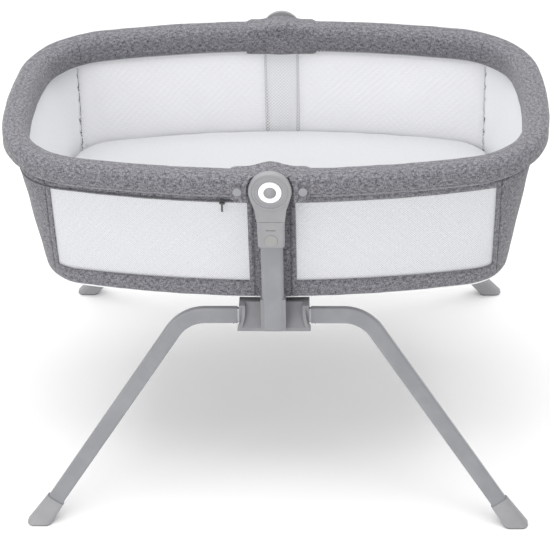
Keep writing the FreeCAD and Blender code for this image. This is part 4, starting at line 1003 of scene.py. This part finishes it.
for side, name in ((-1, "front"), (1, "rear")):
    lining(name + "_inner_mesh", lambda co: co.y * side > 0 and abs(co.x) < SEAM_X * MM,
                          (SEAM_X,), INNER_KNIT, LINING_INSET, 0.5, 0.5, 21 + side)
    lining(name + "_band_backing", lambda co: co.y * side > 0 and abs(co.x) < 28.0 * MM,
                          (28.0,), BACKING_CLOTH, 3.0, 0.8, 0.2, 25 + side)
for hand, name in ((1, "right"), (-1, "left")):
    lining(name + "_end_lining", lambda co: co.x * hand > SEAM_X * MM, (SEAM_X,),
                          WHITE_COTTON, LINING_INSET, 0.9, 0.9, 31 + hand)
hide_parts("inner_lining")

# %% [markdown]
# ## Floor of the basket and its piping
#
# The floor is a flat cloth under the board. Where it meets the walls, a white piping
# cord is sewn into the seam: a thin tube swept round the outline, which shows as a fine
# light line along the lower edge.

# %% Basket floor and piping
PIPING_Z, PIPING_INSET, PIPING_RADIUS = 390.0, 6.0, 1.7
bm = bmesh.new()
ring = outline_ring(bm, TUB_FOOT, 389.4, 7.0)
floor_face = bmesh.ops.contextual_create(bm, geom=ring)["faces"]
for width in (6.0, 40.0, 45.0, 45.0, 45.0):
    bmesh.ops.inset_region(bm, faces=floor_face, thickness=width * MM, use_even_offset=True)
bmesh.ops.triangulate(bm, faces=[f for f in bm.faces if len(f.verts) > 4])
bmesh.ops.recalc_face_normals(bm, faces=bm.faces)
if sum(f.normal.z for f in bm.faces) > 0:
    bmesh.ops.reverse_faces(bm, faces=bm.faces)
thicken(bm, 1.4)
crease_shade_layer(bm)
flat_uv(bm)
tub_floor = piece("basket_floor_cloth", bm, MELANGE, "basket", ["tub_floor"])

bm = bmesh.new()
circle = bmesh.ops.create_circle(bm, segments=10, radius=PIPING_RADIUS * MM)["verts"]
bmesh.ops.rotate(bm, cent=(0, 0, 0), matrix=Matrix.Rotation(math.pi / 2, 3, "Y"), verts=circle)
bmesh.ops.translate(bm, vec=(0, -(TUB_FOOT[1] - PIPING_INSET) * MM, PIPING_Z * MM), verts=circle)
sweep(bm, list(bm.verts) + list(bm.edges), whole_turns(outline_arcs(*TUB_FOOT, TUB_RADII, PIPING_INSET)))
bmesh.ops.remove_doubles(bm, verts=bm.verts, dist=0.1 * MM)
bmesh.ops.recalc_face_normals(bm, faces=bm.faces)
piping = piece("foot_piping", bm, WHITE_CORD, "basket")

# %% [markdown]
# ## Flaps over the hubs
#
# A piece of the same cloth is laid over the rim at each hub, from the front face over
# the top to the inner side. A flat grid is bent over the rim's section, as the maker
# bends the cloth. It rises a little where the rim's hub is under it, and its front has
# an arched opening for the round housing, with a raised binding round the arch.

# %% Hub flaps
FLAP_HALF, FLAP_FRONT, FLAP_LOW, FLAP_INNER_LOW = 62.0, 289.0, 592.5, 585.0
FLAP_TOP, FLAP_RISE, FLAP_CORNER, FLAP_THICK = 635.4, 7.0, 9.0, 2.0
ARCH_RADIUS, BINDING_RADIUS, BINDING_PROUD = 36.9, 45.0, 1.5
HUB_BACK_Y, BOLT_COVER = -285.7, 2.8


def smooth_step(value, low, high):
    share = min(1.0, max(0.0, (value - low) / (high - low)))
    return share * share * (3 - 2 * share)


def flap_profile(x, share):
    """Depth, height and distance along the cloth at a share of the way over the rim."""
    top = FLAP_TOP + FLAP_RISE * math.cos(min(1.0, abs(x) / 42.0) * math.pi / 2) ** 2
    inner = 243.4 - BOLT_COVER * math.cos(min(1.0, abs(x) / 26.0) * math.pi / 2) ** 2
    quarter = FLAP_CORNER * math.pi / 2
    lengths = (FLAP_TOP - FLAP_CORNER - FLAP_LOW, quarter, FLAP_FRONT - inner - 2 * FLAP_CORNER, quarter,
               FLAP_TOP - FLAP_CORNER - FLAP_INNER_LOW)
    run = at = share * sum(lengths)
    stretch = (top - FLAP_TOP) / lengths[0]
    if at <= lengths[0]:
        return FLAP_FRONT, FLAP_LOW + at * (1 + stretch), run
    at -= lengths[0]
    if at <= lengths[1]:
        angle = at / FLAP_CORNER
        depth = FLAP_FRONT - FLAP_CORNER * (1 - math.cos(angle))
        return depth, top - FLAP_CORNER * (1 - math.sin(angle)), run
    at -= lengths[1]
    if at <= lengths[2]:
        return FLAP_FRONT - FLAP_CORNER - at, top, run
    at -= lengths[2]
    if at <= lengths[3]:
        angle = at / FLAP_CORNER
        return inner + FLAP_CORNER * (1 - math.sin(angle)), top - FLAP_CORNER * (1 - math.cos(angle)), run
    at -= lengths[3]
    drop = (top - FLAP_CORNER - FLAP_INNER_LOW) / lengths[4]
    return inner, top - FLAP_CORNER - at * drop, run


def hub_flap(side):
    """Cloth flap over one hub."""
    bm = bmesh.new()
    bmesh.ops.create_grid(bm, x_segments=82, y_segments=96, size=1.0)
    uv, crease = bm.loops.layers.uv.new("cloth"), crease_shade_layer(bm)
    where = {}
    for v in bm.verts:
        x, share = v.co.x * FLAP_HALF, (v.co.y + 1) / 2
        depth, height, run = flap_profile(x, share)
        where[v] = (x * MM, run * MM)
        if depth > FLAP_FRONT - 0.5:
            away = math.hypot(x, height - RIM_Z)
            depth += BINDING_PROUD * (1 - smooth_step(away, BINDING_RADIUS - 0.6, BINDING_RADIUS + 0.6))
            # Painted shade along the edge of the raised binding and in a narrow line just outside it.
            v[crease] = max(0.0, 1 - abs(away - BINDING_RADIUS) / 0.9)
            if away > BINDING_RADIUS:
                v[crease] = max(v[crease], 0.8 * (abs(away - BINDING_RADIUS - 0.4) < 0.8))
        dip = smooth_step(abs(x), 54.0, 62.0)
        depth += dip * (1.4 - 5.4 * smooth_step(depth, 246.0, 286.0))
        height -= dip * 1.8 * smooth_step(height, RIM_Z + 2, RIM_Z + 18)
        v.co = Vector((x, -depth, height)) * MM
    for face in bm.faces:
        for loop in face.loops:
            loop[uv].uv = where[loop.vert]

    def in_arch(co):
        x, z = co.x / MM, co.z / MM - RIM_Z
        return co.y < HUB_BACK_Y * MM and (math.hypot(x, z) < ARCH_RADIUS or (abs(x) < ARCH_RADIUS and z < 0))

    keep_faces(bm, lambda co: not in_arch(co))
    for v in bm.verts:
        x, z = v.co.x / MM, v.co.z / MM - RIM_Z
        in_front = v.co.y < -(FLAP_FRONT - 1.0) * MM and z + RIM_Z > FLAP_LOW + 0.5
        if v.is_boundary and abs(x) < FLAP_HALF - 8 and in_front:
            if z < 0:
                v.co.x = math.copysign(ARCH_RADIUS, x) * MM
            else:
                grow = ARCH_RADIUS / math.hypot(x, z)
                v.co.x, v.co.z = x * grow * MM, (z * grow + RIM_Z) * MM
    for v in bm.verts:
        x, z = abs(v.co.x) / MM, v.co.z / MM
        if v.co.y < -(FLAP_FRONT - 6.0) * MM and z < FLAP_LOW + 9 and x > FLAP_HALF - 9:
            dx, dz = x - (FLAP_HALF - 9), FLAP_LOW + 9 - z
            far = math.hypot(dx, dz)
            if far > 9:
                v.co.x *= (FLAP_HALF - 9 + dx * 9 / far) / x
                v.co.z = (FLAP_LOW + 9 - dz * 9 / far) * MM
    bmesh.ops.recalc_face_normals(bm, faces=bm.faces)
    if sum(f.normal.z for f in bm.faces if f.calc_center_median().z > 0.633) < 0:
        bmesh.ops.reverse_faces(bm, faces=bm.faces)
    ripple(bm, 0.3, 15.0, 41 + side)
    thicken(bm, FLAP_THICK)
    if side > 0:
        mirror_mesh(bm, 1)
    name = "rear" if side > 0 else "front"
    flap = piece(name + "_flap_cloth", bm, MELANGE, "basket", [name + "_hub_flap"])
    return flap


flaps = [hub_flap(side) for side in (-1, 1)]

# %% [markdown]
# ## Stitches
#
# Sewing thread shows as short dark dashes. One dash is a small block, and it is copied
# along the line at the pitch of the stitch. Two rows run down each side of the bands
# behind the uprights, where the side panel is joined to the band.

# %% Band stitches
STITCH = (0.55, 0.45, 2.7)
STITCH_PITCH = 4.6


def dash(bm, place, size, turn=None):
    """One stitch as a block at a place in millimetres."""
    made = bmesh.ops.create_cube(bm, size=MM)["verts"]
    bmesh.ops.scale(bm, vec=size, verts=made)
    if turn:
        bmesh.ops.rotate(bm, cent=(0, 0, 0), matrix=turn, verts=made)
    bmesh.ops.translate(bm, vec=Vector(place) * MM, verts=made)


for side, name in ((-1, "front"), (1, "rear")):
    bm = bmesh.new()
    for x in (27.2, 31.4):
        for hand in (-1, 1):
            for i in range(42):
                z = 396.0 + i * STITCH_PITCH
                dash(bm, (hand * x, side * (side_y(x, z) / MM + 0.1), z), STITCH)
    piece(name + "_band_stitches", bm, THREAD, "basket")

# %% [markdown]
# ## Zip
#
# The removable cloth is zipped on under the rim round the left half. Two narrow tapes
# are sewn to the wall, and a dark coil of small teeth runs between them.

# %% Zip tape and teeth
ZIP_Z, ZIP_START_X = 578.5, -58.0
bm = shell([ZIP_Z - 2.5, ZIP_Z - 0.9, ZIP_Z + 0.9, ZIP_Z + 2.5], -0.5)
cut_along(bm, (ZIP_START_X * MM, 0, 0), (1, 0, 0))
keep_faces(bm, lambda co: co.x < ZIP_START_X * MM)
thicken(bm, 0.8)
layer = crease_shade_layer(bm)
wall_uv(bm)
tapes = piece("zip_tapes", bm, MELANGE_STRAP, "basket", ["zip_tape"])

bm = bmesh.new()
path = outline_ring(bm, [foot + 0.944 * (top - foot) for foot, top in zip(TUB_FOOT, TUB_TOP)], ZIP_Z, -0.75)
places = [(e.verts[0].co + (e.verts[1].co - e.verts[0].co) * share, e.verts[1].co - e.verts[0].co)
          for e in path for share in (0.0, 0.2, 0.4, 0.6, 0.8)]
bm.free()
bm = bmesh.new()
for place, along in places:
    if place.x < ZIP_START_X * MM:
        dash(bm, place / MM, (1.5, 0.7, 1.5), Matrix.Rotation(math.atan2(along.y, along.x), 3, "Z"))
piece("zip_teeth", bm, ZIP, "basket")

# %% [markdown]
# ## Dots on the caps
#
# The white caps carry a plain grey dot, a thin printed disc.

# %% Cap dots
DOT_RADIUS = 10.0
for side, name in ((-1, "front"), (1, "rear")):
    cap = frame["nodes"][name + "_hub_cap"]
    face_y = max((cap.matrix_world @ v.co).y * side for v in cap.data.vertices)
    bm = bmesh.new()
    disc = bmesh.ops.create_circle(bm, cap_ends=True, segments=48, radius=DOT_RADIUS * MM)["verts"]
    bmesh.ops.rotate(bm, cent=(0, 0, 0), matrix=Matrix.Rotation(math.pi / 2, 3, "X"), verts=disc)
    bmesh.ops.translate(bm, vec=(0, side * (face_y + 0.1 * MM), RIM_Z * MM), verts=disc)
    bmesh.ops.solidify(bm, geom=bm.faces, thickness=0.2 * MM)
    bmesh.ops.recalc_face_normals(bm, faces=bm.faces)
    piece(name + "_cap_dot", bm, GREY_PLASTIC, "hub_carrier")

# %% [markdown]
# ## Mattress
#
# The foam slab sits inside its cover like a cushion that is pumped up a little. The slab
# is remeshed into even faces, and the cover is simulated as cloth under a small inner
# pressure with no gravity. Each point's movement is then capped, because the mattress
# has to stay inside the lining.

# %% Mattress by cloth simulation
MATTRESS_INSET, MATTRESS_FOOT_Z, MATTRESS_TOP_Z = 9.6, 396.9, 430.4
VOXEL, PRESSURE, FRAMES, LARGEST_MOVE = 6.0, 4.0, 20, 3.0
bm = bmesh.new()
levels = ((MATTRESS_FOOT_Z, 5.0), (MATTRESS_FOOT_Z + 5.0, 0.0), (MATTRESS_TOP_Z - 9.0, 0.0),
          (MATTRESS_TOP_Z - 3.0, 2.4), (MATTRESS_TOP_Z, 8.5))
rings = [outline_ring(bm, TUB_FOOT, z, MATTRESS_INSET + inset) for z, inset in levels]
for lower, upper in zip(rings, rings[1:]):
    bmesh.ops.bridge_loops(bm, edges=lower + upper)
for ring in (rings[0], rings[-1]):
    bmesh.ops.contextual_create(bm, geom=ring)
bmesh.ops.triangulate(bm, faces=[f for f in bm.faces if len(f.verts) > 4])
bmesh.ops.recalc_face_normals(bm, faces=bm.faces)
slab_mesh = bpy.data.meshes.new("mattress_slab")
bm.to_mesh(slab_mesh)
bm.free()
slab = bpy.data.objects.new("mattress_slab", slab_mesh)
bpy.context.scene.collection.objects.link(slab)


def as_evaluated(obj):
    """Copy of the object's mesh with its modifiers worked out."""
    return bpy.data.meshes.new_from_object(obj.evaluated_get(bpy.context.evaluated_depsgraph_get()))


remesh = slab.modifiers.new("even faces", "REMESH")
remesh.mode, remesh.voxel_size = "VOXEL", VOXEL * MM
slab.data, old = as_evaluated(slab), slab.data
slab.modifiers.clear()
bpy.data.meshes.remove(old)
rest = [v.co.copy() for v in slab.data.vertices]
print("mattress remeshed:", len(rest), "points")

cover = slab.modifiers.new("cover", "CLOTH")
cover.settings.quality = 4
cover.settings.mass = 0.3
cover.settings.tension_stiffness = cover.settings.compression_stiffness = 12.0
cover.settings.shear_stiffness = 6.0
cover.settings.bending_stiffness = 2.0
cover.settings.use_pressure = True
cover.settings.uniform_pressure_force = PRESSURE
cover.settings.effector_weights.gravity = 0.0
cover.point_cache.frame_start, cover.point_cache.frame_end = 1, FRAMES
for frame_number in range(1, FRAMES + 1):
    bpy.context.scene.frame_set(frame_number)
puffed = as_evaluated(slab)
slab.modifiers.clear()
bpy.context.scene.frame_set(1)
moves = [after.co - before for after, before in zip(puffed.vertices, rest)]
print("mattress moved at most", round(max(m.length for m in moves) / MM, 2), "mm before the cap")
for point, before, move in zip(slab.data.vertices, rest, moves):
    sideways = Vector((move.x, move.y, 0.0))
    if sideways.length > 0.8 * MM:
        sideways.length = 0.8 * MM
    lift = min(LARGEST_MOVE * MM, max(-1.0 * MM, move.z))
    if before.z < MATTRESS_FOOT_Z * MM + 0.004:
        lift = max(0.0, lift)
    point.co = before + sideways + Vector((0.0, 0.0, lift))

bm = bmesh.new()
bm.from_mesh(slab.data)
bpy.data.objects.remove(slab)
bmesh.ops.smooth_vert(bm, verts=bm.verts, factor=0.5, use_axis_x=True, use_axis_y=True, use_axis_z=True)
ripple(bm, 0.9, 70.0, 51, lambda co: 1.0 if co.z > 0.415 else 0.0)
bmesh.ops.subdivide_edges(bm, edges=bm.edges, cuts=1, use_grid_fill=True, smooth=0.6)
crease_shade_layer(bm)
flat_uv(bm)
mattress = piece("mattress_cover", bm, MATTRESS_COTTON, "basket", ["mattress"])
